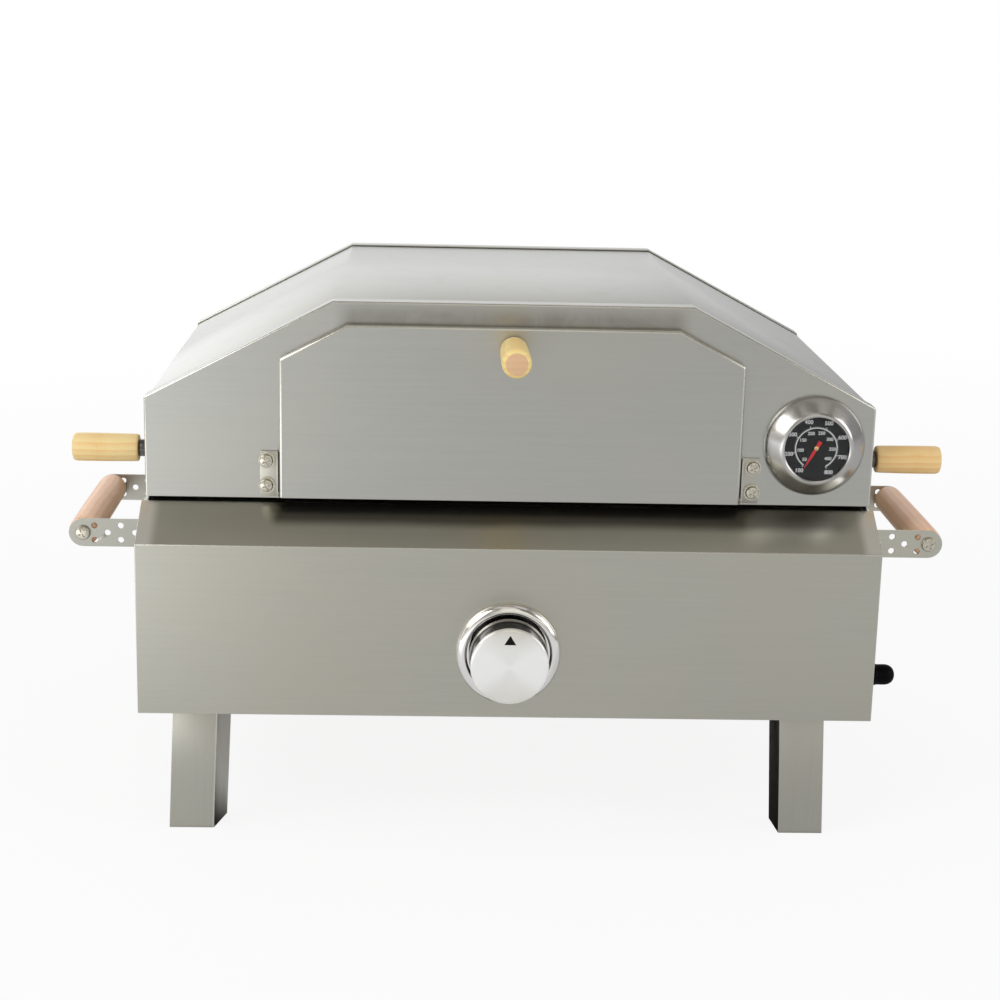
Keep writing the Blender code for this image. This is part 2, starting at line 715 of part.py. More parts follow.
def make_burner(frame):
    """Fork-shaped tube: mixer, cross tube and two arms that run back."""
    half, back = BURNER_HALF_WIDTH, BURNER_BACK_Y
    throat = MIXER_FRONT_Y + SHUTTER_LENGTH

    def tubes(wall, front):
        """Arms, cross tube and neck, drawn in by a wall for the bores."""
        arm, cross = BURNER_RADIUS - wall, BURNER_RADIUS * CROSS_SHARE - wall
        neck, mixer = BURNER_RADIUS * NECK_SHARE - wall, MIXER_RADIUS - wall
        arms = [rod(arm, -arm, back - BURNER_CROSS_Y - wall, (sign * half, BURNER_CROSS_Y, KNOB_Z), "y")
                for side, sign in SIDES]
        profile = [(0, front), (mixer, front), (mixer, throat - OVERRUN), (neck, throat),
                   (neck, BURNER_CROSS_Y), (0, BURNER_CROSS_Y)]
        return joined(arms), rod(cross, -half, half, (0, BURNER_CROSS_Y, KNOB_Z), "x"), \
            turned(profile, (0, 0, KNOB_Z), "y")

    arms, cross, neck = tubes(0, MIXER_FRONT_Y)
    burner = add_object("burner", cross, frame)
    fuse(burner, add_object("burner_arms", arms, frame), add_object("burner_neck", neck, frame))
    run = back - BURNER_CROSS_Y - BURNER_RADIUS
    drills = []
    for side, sign in SIDES:
        for i in range(PORT_COUNT):
            y = BURNER_CROSS_Y + BURNER_RADIUS + run * (i + 0.5) / (PORT_COUNT + 1)
            at = (sign * half, y, KNOB_Z)
            drills.append(rod(PORT_RADIUS, 0, BURNER_RADIUS + OVERRUN, at, "z", HOLE_STEPS))
    arms, cross, neck = tubes(BURNER_WALL, MIXER_FRONT_Y - OVERRUN)
    cut(burner, add_object("burner_ports", joined(drills), frame), add_object("arm_bores", arms, frame),
        add_object("cross_bore", cross, frame), add_object("neck_bore", neck, frame))
    as_piece(burner, plain_steel(), smooth=True)


def make_burner_brackets(frame):
    low = FLOOR_TOP_Z + GAP
    front = BURNER_BACK_Y + GAP
    top = KNOB_Z + BURNER_RADIUS
    profile = [
        (front, low), (front + BRACKET_FOOT, low), (front + BRACKET_FOOT, low + STRAP),
        (front + STRAP, low + STRAP), (front + STRAP, top), (front, top),
    ]
    for side, sign in SIDES:
        x = sign * BURNER_HALF_WIDTH
        plate = prism(profile, "x", x - BRACKET_PLATE_WIDTH / 2, x + BRACKET_PLATE_WIDTH / 2)
        as_piece(add_object("burner_bracket_" + side, plate, frame), plain_steel())


def make_air_shutter(frame):
    """Slotted sleeve that sets the air let into the mixer."""
    inner = MIXER_RADIUS + GAP
    sleeve = tube_profile(inner, inner + SHUTTER_WALL, 0, SHUTTER_LENGTH - SHUTTER_SPACE)
    shutter = add_object("air_shutter", turned(sleeve, (0, MIXER_FRONT_Y, KNOB_Z), "y"), frame)
    as_piece(shutter, plain_steel(), smooth=True)


def make_igniter(frame):
    x = -(BURNER_HALF_WIDTH - ELECTRODE_INSET)
    low = FLOOR_TOP_Z + GAP
    profile = [
        (0, 0), (ELECTRODE_FLANGE, 0), (ELECTRODE_FLANGE, SHEET), (ELECTRODE_RADIUS, SHEET),
        (ELECTRODE_RADIUS, ELECTRODE_HEIGHT), (SPARK_RADIUS, ELECTRODE_HEIGHT),
        (SPARK_RADIUS, ELECTRODE_HEIGHT + SPARK_HEIGHT), (0, ELECTRODE_HEIGHT + SPARK_HEIGHT),
    ]
    rod_shape = turned(profile, (x, ELECTRODE_Y, low), "z", SMALL_STEPS)
    electrode = add_object("igniter_electrode", rod_shape, frame)
    as_piece(electrode, white_ceramic(), smooth=True)
    wire_z = FLOOR_TOP_Z + WIRE_LIFT
    valve_x = -(VALVE_HALF_WIDTH + GAP)
    valve_y = VALVE_FRONT + VALVE_NECK + VALVE_BODY / 2
    route = rounded_route([
        (valve_x, valve_y, KNOB_Z), (-WIRE_X / 2, valve_y, KNOB_Z), (-WIRE_X, valve_y, wire_z),
        (-WIRE_X, ELECTRODE_Y, wire_z), (x + ELECTRODE_FLANGE + GAP, ELECTRODE_Y, wire_z),
    ], WIRE_BEND)
    tube_along("igniter_wire", route, WIRE_RADIUS, frame, wire_cover())


# Gas train

def make_gas_valve(frame):
    """Valve block with its neck, inlet boss and spout, bored for the stem."""
    body_y = VALVE_FRONT + VALVE_NECK
    body_end = body_y + VALVE_BODY
    block = box((-VALVE_HALF_WIDTH, VALVE_HALF_WIDTH), (body_y, body_end),
                (KNOB_Z - VALVE_HALF_HEIGHT, KNOB_Z + VALVE_HALF_HEIGHT))
    valve = add_object("gas_valve", block, frame)
    neck = rod(VALVE_NECK_RADIUS, VALVE_FRONT, body_y + OVERRUN, (0, 0, KNOB_Z), "y")
    boss_x = VALVE_HALF_WIDTH + VALVE_BOSS_LENGTH
    boss = rod(VALVE_BOSS_RADIUS, 0, boss_x, (0, body_y + VALVE_BODY / 2, KNOB_Z), "x")
    spout = rod(SPOUT_RADIUS, body_end - OVERRUN, body_end + SPOUT_LENGTH, (0, 0, KNOB_Z), "y")
    bore_end = VALVE_FRONT + VALVE_BORE_DEPTH
    bore = rod(PUSH_RING_RADIUS + GAP, VALVE_FRONT - OVERRUN, bore_end, (0, 0, KNOB_Z), "y")
    fuse(valve, add_object("valve_neck", neck, frame), add_object("valve_boss", boss, frame),
         add_object("valve_spout", spout, frame))
    cut(valve, add_object("valve_bore", bore, frame))
    as_piece(valve, brass())


def make_gas_jet(frame):
    start = VALVE_FRONT + VALVE_NECK + VALVE_BODY + SPOUT_LENGTH + GAP
    profile = [
        (JET_BORE_RADIUS, 0), (JET_RADIUS, 0), (JET_RADIUS, JET_LENGTH / 2),
        (JET_TIP_RADIUS, JET_LENGTH), (JET_BORE_RADIUS, JET_LENGTH),
    ]
    jet = add_object("gas_jet", turned(profile, (0, start, KNOB_Z), "y", SMALL_STEPS), frame)
    as_piece(jet, brass())


def make_manifold_pipe(frame):
    """Pipe from the valve's boss, over the leg, and down through the floor to the inlet."""
    start_x = VALVE_HALF_WIDTH + VALVE_BOSS_LENGTH + GAP
    pipe_y = VALVE_FRONT + VALVE_NECK + VALVE_BODY / 2
    turn_x = PIPE_TURN_X
    end_x = HALF_WIDTH - SHEET - GAP - INLET_NUT_DEPTH - GAP
    run_z = KNOB_Z
    route = rounded_route([
        (start_x, pipe_y, run_z), (turn_x - PIPE_BEND, pipe_y, run_z),
        (turn_x, pipe_y + PIPE_BEND, run_z), (turn_x, INLET_SETBACK, run_z - PIPE_BEND / 2),
        (turn_x, INLET_SETBACK, INLET_Z), (end_x, INLET_SETBACK, INLET_Z),
    ], PIPE_RADIUS * 3 / 2)
    tube_along("manifold_pipe", route, PIPE_RADIUS, frame, plain_steel())


def make_inlet(frame, cap_frame):
    """Bulkhead fitting in the right wall, and the soft cap pushed over its spigot."""
    wall = HALF_WIDTH
    nut_start = -SHEET - GAP - INLET_NUT_DEPTH
    flange_end = GAP + INLET_FLANGE_DEPTH
    spigot_end = flange_end + INLET_SPIGOT_LENGTH
    thread = INLET_THREAD_RADIUS - GAP
    profile = [
        (INLET_BORE_RADIUS, nut_start), (INLET_FLANGE_RADIUS, nut_start),
        (INLET_FLANGE_RADIUS, -SHEET - GAP), (thread, -SHEET - GAP), (thread, GAP),
        (INLET_FLANGE_RADIUS, GAP), (INLET_FLANGE_RADIUS, flange_end),
        (INLET_SPIGOT_RADIUS, flange_end), (INLET_SPIGOT_RADIUS, spigot_end), (INLET_BORE_RADIUS, spigot_end),
    ]
    at = (wall, INLET_SETBACK, INLET_Z)
    as_piece(add_object("inlet_fitting", turned(profile, at, "x"), frame), brass(), smooth=True)
    bore = INLET_SPIGOT_RADIUS + GAP
    cap_start = flange_end + GAP
    cap_end = cap_start + CAP_LENGTH
    cap = [(bore, cap_start), (CAP_RADIUS, cap_start)]
    for i in range(CAP_DOME_STEPS):
        angle = math.pi / 2 * i / CAP_DOME_STEPS
        cap.append((CAP_RADIUS * math.cos(angle), cap_end - CAP_DOME + CAP_DOME * math.sin(angle)))
    cap += [(0, cap_end), (0, spigot_end + GAP), (bore, spigot_end + GAP)]
    as_piece(add_object("inlet_cap", turned(cap, at, "x"), cap_frame), black_plastic(), smooth=True)


# Control knob

def make_knob_bezel(frame):
    inner, outer = BEZEL_INNER_RADIUS, BEZEL_RADIUS
    curve = [(outer + (inner - outer) * across, BEZEL_DEPTH * high) for across, high in BEZEL_CURVE_SHARES]
    profile = [
        (BEZEL_HOLE_RADIUS, GAP), (outer, GAP), *curve, (inner, BEZEL_FLOOR + GAP),
        (BEZEL_HOLE_RADIUS, BEZEL_FLOOR + GAP),
    ]
    bezel = add_object("knob_bezel", turned(profile, (0, 0, KNOB_Z), "-y", FINE_STEPS), frame)
    as_piece(bezel, polished_steel(), smooth=True)


def make_valve_stem(push_frame, knob_frame):
    """Spring ring that only slides, and the stem that slides and turns."""
    ring_start = -VALVE_FRONT - GAP
    ring = tube_profile(STEM_RADIUS + GAP, PUSH_RING_RADIUS, ring_start - PUSH_RING_DEPTH, ring_start)
    push_ring = turned(ring, (0, 0, KNOB_Z), "-y", SMALL_STEPS)
    as_piece(add_object("valve_push_ring", push_ring, push_frame), plain_steel())
    stem = rod(STEM_RADIUS, -STEM_TAIL, STEM_REACH, (0, 0, KNOB_Z), "-y", SMALL_STEPS)
    as_piece(add_object("valve_stem", stem, knob_frame), brass())


def make_knob(frame):
    """Black skirt on the stem, and the polished cap on the skirt."""
    cap_rear = KNOB_REACH - KNOB_CAP_DEPTH
    bore = STEM_RADIUS + GAP
    bore_end = SKIRT_RING_REAR + SKIRT_BORE_DEPTH
    skirt_front = cap_rear + KNOB_CAP_DEPTH / 2
    inside = KNOB_RADIUS - STRAP
    skirt = [
        (bore, SKIRT_RING_REAR), (SKIRT_NECK_RADIUS, SKIRT_RING_REAR),
        (SKIRT_RING_RADIUS, SKIRT_RING_REAR + SKIRT_RIM),
        (SKIRT_RING_RADIUS, SKIRT_RING_REAR + SKIRT_RIM * 2),
        (inside - GAP, cap_rear - GAP),
        (inside - GAP, skirt_front), (0, skirt_front), (0, bore_end), (bore, bore_end),
    ]
    base = add_object("knob_skirt", turned(skirt, (0, 0, KNOB_Z), "-y", FINE_STEPS), frame)
    as_piece(base, black_plastic(), smooth=True)
    face = [(KNOB_RADIUS * share, KNOB_REACH - KNOB_CROWN * share ** 2) for share in KNOB_FACE_SHARES]
    cap = [
        (inside, cap_rear), (KNOB_RADIUS, cap_rear), (KNOB_RADIUS, KNOB_REACH - KNOB_CROWN - KNOB_CHAMFER),
        *face, (0, KNOB_REACH), (0, skirt_front + GAP), (inside, skirt_front + GAP),
    ]
    knob = add_object("control_knob", turned(cap, (0, 0, KNOB_Z), "-y", FINE_STEPS), frame)
    as_piece(knob, polished_steel(), smooth=True)


# Stone and rack

def make_stone_rack(frame):
    """Two long bars across the frame and two short ones between them."""
    x_end = HALF_WIDTH - FRAME_BORDER_X + RACK_OVERLAP
    spread = STONE_SIZE * RACK_SPREAD_SHARE / 2
    top = RACK_Z + RACK_BAR_HEIGHT
    half_bar = RACK_BAR_WIDTH / 2
    front_y, back_y = OVEN_MIDDLE_Y - spread, OVEN_MIDDLE_Y + spread
    front_bar = box((-x_end, x_end), (front_y - half_bar, front_y + half_bar), (RACK_Z, top))
    rack = add_object("stone_rack", front_bar, frame)
    back_bar = box((-x_end, x_end), (back_y - half_bar, back_y + half_bar), (RACK_Z, top))
    short_bars = bmesh.new()
    for side, sign in SIDES:
        x = sign * spread
        add_box(short_bars, (x - half_bar, x + half_bar), (front_y, back_y), (RACK_Z, top))
    fuse(rack, add_object("rack_short_bars", short_bars, frame),
         add_object("rack_back_bar", back_bar, frame))
    as_piece(rack, plain_steel())


def make_pizza_stone(frame):
    half = STONE_SIZE / 2
    y_range = (OVEN_MIDDLE_Y - half, OVEN_MIDDLE_Y + half)
    slab = box((-half, half), y_range, (STONE_Z, STONE_Z + STONE_THICKNESS))
    upright = [edge for edge in slab.edges
               if abs(edge.verts[0].co.z - edge.verts[1].co.z) > STONE_THICKNESS / 2]
    bmesh.ops.bevel(slab, geom=upright, offset=STONE_CORNER, offset_type="OFFSET", affect="EDGES",
                    segments=STONE_CORNER_STEPS, profile=0.5, material=-1)
    as_piece(add_object("pizza_stone", slab, frame), cordierite())


# Legs

def make_leg(side, sign, end, frame):
    """Folded leg: front flange, inner web and the lug that turns on the bolt."""
    outer_x = sign * (HALF_WIDTH - LEG_INSETS[side])
    inner_x = outer_x - sign * LEG_WIDTH
    front = end == "front"

    def depth(distance):
        return distance if front else BODY_DEPTH - distance

    face_y, back_y = depth(LEG_SETBACK), depth(LEG_SETBACK + STRAP)
    top = SKIRT_Z + LEG_TOP_RISE
    splay = sign * LEG_SPLAY
    shape = bmesh.new()

    def corner(x, y, z):
        lean = splay * (1 - min(z, top) / top)
        return shape.verts.new((x + lean, y, z))

    def slab(lower, upper):
        """A closed wedge between two outlines with the same number of points."""
        low = [corner(*point) for point in lower]
        high = [corner(*point) for point in upper]
        shape.faces.new(low)
        shape.faces.new(high)
        count = len(low)
        for i in range(count):
            j = (i + 1) % count
            shape.faces.new((low[i], low[j], high[j], high[i]))

    flare = -sign * LEG_WEB_FLARES[side]
    wall = sign * STRAP

    def section(z, web):
        web_y = depth(LEG_SETBACK + web)
        return [(outer_x, face_y, z), (outer_x, back_y, z), (inner_x + wall, back_y, z),
                (inner_x + wall + flare, web_y, z), (inner_x + flare, web_y, z), (inner_x, face_y, z)]

    slab(section(0, LEG_WEB_FOOT), section(top, LEG_WEB_TOP))
    leg = add_object("leg_{}_{}".format(end, side), shape, frame)
    pivot_y = depth(LEG_SETBACK + LEG_PIVOT_BACK)
    lug_x = inner_x + flare * LEG_PIVOT_BACK / LEG_WEB_TOP
    half_lug = LEG_LUG_RADIUS
    lug_foot = top - STRAP
    outline = [(pivot_y - half_lug, lug_foot), (pivot_y + half_lug, lug_foot)]
    for i in range(HOLE_STEPS + 1):
        angle = math.pi * i / HOLE_STEPS
        outline.append((pivot_y + half_lug * math.cos(angle), LEG_PIVOT_Z + half_lug * math.sin(angle)))
    x_range = sorted((lug_x, lug_x + wall))
    lug = add_object(leg.name + "_lug", prism(outline, "x", *x_range), frame)
    at = (lug_x + wall / 2, pivot_y, LEG_PIVOT_Z)
    hole = rod(LEG_BOLT_RADIUS + GAP, -OVERRUN, OVERRUN, at, "x", SMALL_STEPS)
    fuse(leg, lug)
    cut(leg, add_object(leg.name + "_hole", hole, frame))
    as_piece(leg, brushed_steel())


def make_leg_bracket(side, sign, end, frame):
    """Strap under the floor with the bolt that its leg turns on."""
    inner_x = sign * (HALF_WIDTH - LEG_INSETS[side] - LEG_WIDTH)
    flare = -sign * LEG_WEB_FLARES[side]
    lug_x = inner_x + flare * LEG_PIVOT_BACK / LEG_WEB_TOP
    distance = LEG_SETBACK + LEG_PIVOT_BACK
    pivot_y = distance if end == "front" else BODY_DEPTH - distance
    near = lug_x - sign * GAP
    far = near - sign * STRAP
    foot = far - sign * LEG_BRACKET_FOOT
    top = FLOOR_Z - GAP
    low = LEG_PIVOT_Z - LEG_BRACKET_DROP
    profile = [(near, low), (near, top), (foot, top), (foot, top - STRAP), (far, top - STRAP), (far, low)]
    half = LEG_BRACKET_WIDTH / 2
    name = "leg_bracket_{}_{}".format(end, side)
    strap = add_object(name, prism(profile, "y", pivot_y - half, pivot_y + half), frame)
    head_start = STRAP + GAP * 2
    bolt = [
        (0, -STRAP / 2), (LEG_BOLT_RADIUS, -STRAP / 2), (LEG_BOLT_RADIUS, head_start),
        (LEG_BOLT_HEAD_RADIUS, head_start), (LEG_BOLT_HEAD_RADIUS, head_start + LEG_BOLT_HEAD),
        (0, head_start + LEG_BOLT_HEAD),
    ]
    axis = "x" if sign > 0 else "-x"
    stud = turned(bolt, (near, pivot_y, LEG_PIVOT_Z), axis, SMALL_STEPS)
    fuse(strap, add_object(name + "_bolt", stud, frame))
    as_piece(strap, plain_steel())


# Carry handles

def make_carry_handle(side, sign, frame):
    """Drilled two-armed bracket with a wooden grip held between its arms."""
    wall = sign * (HALF_WIDTH + GAP)
    tip = sign * CARRY_X
    half = CARRY_PLATE_HALF
    outline = [(wall, CARRY_Z - half), (wall, CARRY_Z + half)]
    for i in range(SMALL_STEPS + 1):
        angle = math.pi / 2 - math.pi * i / SMALL_STEPS
        outline.append((tip + sign * half * math.cos(angle), CARRY_Z + half * math.sin(angle)))
    start, end = CARRY_FRONT_Y, CARRY_FRONT_Y + CARRY_LENGTH
    bracket = add_object("carry_bracket_" + side, prism(outline, "y", start, end), frame)
    inside_x = sorted((wall + sign * STRAP, sign * (CARRY_X + half + OVERRUN)))
    space = box(inside_x, (start + STRAP, end - STRAP),
                (CARRY_Z - half - OVERRUN, CARRY_Z + half + OVERRUN))
    drills = [rod(ROD_RADIUS + GAP, start - OVERRUN, end + OVERRUN, (tip, 0, CARRY_Z), "y", HOLE_STEPS)]
    for along, up in CARRY_HOLE_SHARES:
        x = wall + sign * CARRY_REACH * along
        z = CARRY_Z + half * up
        drills.append(rod(CARRY_HOLE_RADIUS, start - OVERRUN, end + OVERRUN, (x, 0, z), "y", HOLE_STEPS))
    cut(bracket, add_object("carry_space_" + side, space, frame),
        add_object("carry_holes_" + side, joined(drills), frame))
    as_piece(bracket, brushed_steel())
    near, far = start + STRAP + GAP, end - STRAP - GAP
    bore = ROD_RADIUS + GAP
    grip = [
        (bore, near), (GRIP_RADIUS - GRIP_ROUND, near), (GRIP_RADIUS, near + GRIP_ROUND),
        (GRIP_RADIUS, far - GRIP_ROUND), (GRIP_RADIUS - GRIP_ROUND, far), (bore, far),
    ]
    at = (tip, 0, CARRY_Z)
    as_piece(add_object("carry_grip_" + side, turned(grip, at, "y"), frame), pine(), smooth=True)
    head = ROD_HEAD_HEIGHT
    dome = ROD_HEAD_RADIUS * ROD_DOME_SHARE
    first, last = start - GAP, end + GAP
    bolt = [
        (0, first - head), (dome, first - head), (ROD_HEAD_RADIUS, first - head / 2),
        (ROD_HEAD_RADIUS, first), (ROD_RADIUS, first), (ROD_RADIUS, last), (ROD_HEAD_RADIUS, last),
        (ROD_HEAD_RADIUS, last + head / 2), (dome, last + head), (0, last + head),
    ]
    rod_object = add_object("carry_rod_" + side, turned(bolt, at, "y", SMALL_STEPS), frame)
    as_piece(rod_object, polished_steel(), smooth=True)


# Lid

def lid_outline(inset, low):
    """Outline of the lid's cross-section, drawn in by an inset, open at the bottom."""
    half, top_half = LID_WIDTH / 2, LID_TOP_WIDTH / 2
    eave = (half, PANEL_Z + LID_EAVE)
    ridge = (top_half, PANEL_Z + LID_HEIGHT)
    foot = (half, low)
    eave_in = offset_point(foot, eave, ridge, inset)
    ridge_in = offset_point(eave, ridge, (-top_half, ridge[1]), inset)
    return mirrored_outline([(half - inset, low), eave_in, ridge_in])


def make_lid_wrap(frame):
    """Five-sided sheet that makes the lid's sides, slopes and top."""
    start, end = LID_FRONT_Y + SHEET + GAP, LID_BACK_Y - SHEET - GAP
    wrap = add_object("lid_wrap", prism(lid_outline(WRAP_INSET, WRAP_Z), "y", start, end), frame)
    inner = lid_outline(WRAP_INSET + SHEET, WRAP_Z - OVERRUN)
    hollow = add_object("wrap_hollow", prism(inner, "y", start - OVERRUN, end + OVERRUN), frame)
    y, z = LID_FRONT_Y + SIDE_PEG_SETBACK, WRAP_Z + SIDE_PEG_HEIGHT
    wall = LID_WIDTH / 2 - WRAP_INSET
    drills = [rod(BOLT_RADIUS + BOLT_PLAY, -OVERRUN, OVERRUN, (sign * wall, y, z), "x", HOLE_STEPS)
              for side, sign in SIDES]
    cut(wrap, hollow, add_object("peg_holes", joined(drills), frame))
    as_piece(wrap, brushed_steel())


def end_panel(name, face_y, inward, frame):
    """End of the lid: a shallow cap pushed over the wrap."""
    rim_end = face_y + inward * LID_RIM_DEPTH
    y_range = sorted((face_y, rim_end))
    panel = add_object(name, prism(lid_outline(0, PANEL_Z), "y", *y_range), frame)
    hollow_range = sorted((face_y + inward * SHEET, rim_end + inward * OVERRUN))
    hollow = prism(lid_outline(SHEET, PANEL_Z - OVERRUN), "y", *hollow_range)
    cut(panel, add_object(name + "_hollow", hollow, frame))
    return as_piece(panel, brushed_steel())


def bracket_bolt_places():
    places = []
    for side, sign in SIDES:
        x = sign * (DOOR_WIDTH / 2 + BRACKET_SPACE + BRACKET_BOLT_OUT)
        for rise in BRACKET_BOLT_HEIGHTS:
            places.append((x, DOOR_Z + rise))
    return places


def make_lid_front_panel(frame):
    panel = end_panel("lid_front_panel", LID_FRONT_Y, 1, frame)
    half, top_half = DOOR_WIDTH / 2, DOOR_TOP_WIDTH / 2
    side_z, top_z = DOOR_Z + DOOR_SIDE_HEIGHT, DOOR_Z + DOOR_HEIGHT
    corner = offset_point((half, DOOR_Z), (half, side_z), (top_half, top_z), DOOR_LAP)
    top = offset_point((half, side_z), (top_half, top_z), (-top_half, top_z), DOOR_LAP)
    outline = mirrored_outline([(half - DOOR_LAP, PANEL_Z + DOOR_SILL), corner, top])
    opening = prism(outline, "y", LID_FRONT_Y - OVERRUN, LID_FRONT_Y + OVERRUN)
    drills = [rod(BOLT_RADIUS + BOLT_PLAY, -OVERRUN, OVERRUN, (x, LID_FRONT_Y, z), "y", HOLE_STEPS)
              for x, z in bracket_bolt_places()]
    drills.append(rod(THREAD_RADIUS + GAP, -OVERRUN, OVERRUN, (DIAL_X, LID_FRONT_Y, DIAL_Z), "y"))
    cut(panel, add_object("door_opening", opening, frame), add_object("panel_holes", joined(drills), frame))


def peg_profile(start, length, curve_shares):
    """Turned wooden peg with a bore for its screw, from its root outwards."""
    bore = BOLT_RADIUS + GAP
    bore_end = start + length * PEG_BORE_SHARE
    curve = [(PEG_RADIUS * wide, start + length * along) for along, wide in curve_shares]
    return [(bore, start), *curve, (0, start + length), (0, bore_end), (bore, bore_end)]


def make_side_peg(side, sign, frame):
    """Lifting peg on the lid's side, held off the hot wall by a spacer."""
    wall = LID_WIDTH / 2 - WRAP_INSET
    at = (sign * wall, LID_FRONT_Y + SIDE_PEG_SETBACK, WRAP_Z + SIDE_PEG_HEIGHT)
    axis = "x" if sign > 0 else "-x"
    start = GAP + SIDE_SPACER_LENGTH + GAP
    profile = peg_profile(start, PEG_LENGTH, PEG_CURVE_SHARES)
    as_piece(add_object("lid_peg_" + side, turned(profile, at, axis), frame), pine(), smooth=True)
    inside = -SHEET - GAP
    shank_end = start + PEG_LENGTH * PEG_BORE_SHARE - GAP
    bolt = [
        (0, inside - NUT_HEIGHT), (NUT_RADIUS, inside - NUT_HEIGHT), (NUT_RADIUS, inside),
        (BOLT_RADIUS, inside), (BOLT_RADIUS, GAP), (SIDE_SPACER_RADIUS, GAP),
        (SIDE_SPACER_RADIUS, GAP + SIDE_SPACER_LENGTH),
        (BOLT_RADIUS, GAP + SIDE_SPACER_LENGTH), (BOLT_RADIUS, shank_end), (0, shank_end),
    ]
    stud = add_object("lid_peg_bolt_" + side, turned(bolt, at, axis, SMALL_STEPS), frame)
    as_piece(stud, polished_steel(), smooth=True)


def make_thermometer(frame, needle_frame):
    """Domed polished case, dial, needle, glass, probe and the nut behind the panel."""
    at = (DIAL_X, LID_FRONT_Y, DIAL_Z)
    dial_face = CASE_DEPTH - DIAL_RECESS
    inner = DIAL_RADIUS + GAP
    thread_end = -THREAD_LENGTH
    probe_end = -PROBE_LENGTH
    floor = dial_face - DIAL_THICKNESS - GAP
    dome = [(CASE_RADIUS * wide, CASE_DEPTH * high) for wide, high in CASE_DOME_SHARES]
    case = [
        (0, probe_end), (PROBE_RADIUS, probe_end), (PROBE_RADIUS, thread_end), (THREAD_RADIUS, thread_end),
        (THREAD_RADIUS, GAP), (CASE_RADIUS, GAP), *dome, (CASE_RIM_RADIUS, CASE_DEPTH), (inner, CASE_DEPTH),
        (inner, floor), (0, floor),
    ]
    body = add_object("thermometer_case", turned(case, at, "-y", FINE_STEPS), frame)
    as_piece(body, polished_steel(), smooth=True)
    hub_hole = HUB_RADIUS / 2 + GAP
    disc = tube_profile(hub_hole, DIAL_RADIUS, dial_face - DIAL_THICKNESS, dial_face)
    as_piece(add_object("thermometer_dial", turned(disc, at, "-y", FINE_STEPS), frame), dial_paint())
    glass_front = CASE_DEPTH - GLASS_SETBACK
    pane = rod_profile(DIAL_RADIUS, glass_front - GLASS_THICKNESS, glass_front)
    as_piece(add_object("thermometer_glass", turned(pane, at, "-y", FINE_STEPS), frame), clear_glass())
    nut_end = -SHEET - GAP
    nut_start = nut_end - DIAL_NUT_HEIGHT
    nut = add_object("thermometer_nut", rod(DIAL_NUT_RADIUS, nut_start, nut_end, at, "-y", HEX_SIDES), frame)
    bore = rod(THREAD_RADIUS + GAP, nut_start - OVERRUN, nut_end + OVERRUN, at, "-y")
    cut(nut, add_object("nut_bore", bore, frame))
    as_piece(nut, plain_steel())
    make_needle(at, dial_face, needle_frame)


def make_needle(at, dial_face, frame):
    """Needle with its arbor in the dial's hole, at rest at the cold end."""
    low = dial_face + GAP
    high = low + NEEDLE_THICKNESS
    half = NEEDLE_WIDTH / 2
    blade = bmesh.new()
    tip = half * NEEDLE_TIP_SHARE
    add_prism(blade, [(-half, -NEEDLE_TAIL), (half, -NEEDLE_TAIL), (half, 0), (tip, NEEDLE_LENGTH),
                      (-tip, NEEDLE_LENGTH), (-half, 0)], "z", low, high)
    turn = Matrix.Rotation(NEEDLE_COLD_ANGLE, 4, "Z")
    place = Matrix.Translation(Vector(at)) @ AXIS_TURNS["-y"] @ turn
    bmesh.ops.transform(blade, matrix=place, verts=blade.verts)
    needle = add_object("thermometer_needle", blade, frame)
    arbor_start = dial_face - DIAL_THICKNESS
    hub = [
        (0, arbor_start), (HUB_RADIUS / 2, arbor_start), (HUB_RADIUS / 2, low), (HUB_RADIUS, low),
        (HUB_RADIUS, high + NEEDLE_THICKNESS), (0, high + NEEDLE_THICKNESS),
    ]
    fuse(needle, add_object("needle_hub", turned(hub, at, "-y", SMALL_STEPS), frame))
    as_piece(needle, needle_paint())


def make_door_bracket(side, sign, frame):
    """Angle beside the door with its two bolts and the pin that the door turns on."""
    inner = sign * (DOOR_WIDTH / 2 + BRACKET_SPACE)
    outer = inner + sign * BRACKET_WIDTH
    back = LID_FRONT_Y - GAP
    front = DOOR_FRONT_Y + GAP
    wall = sign * SHEET
    profile = [(inner, front), (inner + wall, front), (inner + wall, back - SHEET), (outer, back - SHEET),
               (outer, back), (inner, back)]
    low = DOOR_Z
    name = "door_bracket_" + side
    angle = add_object(name, prism(profile, "z", low, low + BRACKET_HEIGHT), frame)
    axis = "-x" if sign > 0 else "x"
    pin = rod(PIVOT_RADIUS, -SHEET / 2, PIVOT_REACH, (inner, DOOR_PIVOT_Y, DOOR_PIVOT_Z), axis, SMALL_STEPS)
    face = back - SHEET - LID_FRONT_Y
    head = face - BRACKET_HEAD_HEIGHT
    nut_start = SHEET + GAP
    dome = BRACKET_HEAD_RADIUS * BOLT_DOME_SHARE
    bolt = [
        (0, head), (dome, head), (BRACKET_HEAD_RADIUS, head + BRACKET_HEAD_HEIGHT / 2),
        (BRACKET_HEAD_RADIUS, face + SHEET / 2), (BOLT_RADIUS, face + SHEET / 2), (BOLT_RADIUS, nut_start),
        (NUT_RADIUS, nut_start), (NUT_RADIUS, nut_start + NUT_HEIGHT), (0, nut_start + NUT_HEIGHT),
    ]
    places = [(x, z) for x, z in bracket_bolt_places() if x * sign > 0]
    bolts = [turned(bolt, (x, LID_FRONT_Y, z), "y", SMALL_STEPS) for x, z in places]
    fuse(angle, add_object(name + "_pin", pin, frame), add_object(name + "_bolts", joined(bolts), frame))
    as_piece(angle, polished_steel())


# Door

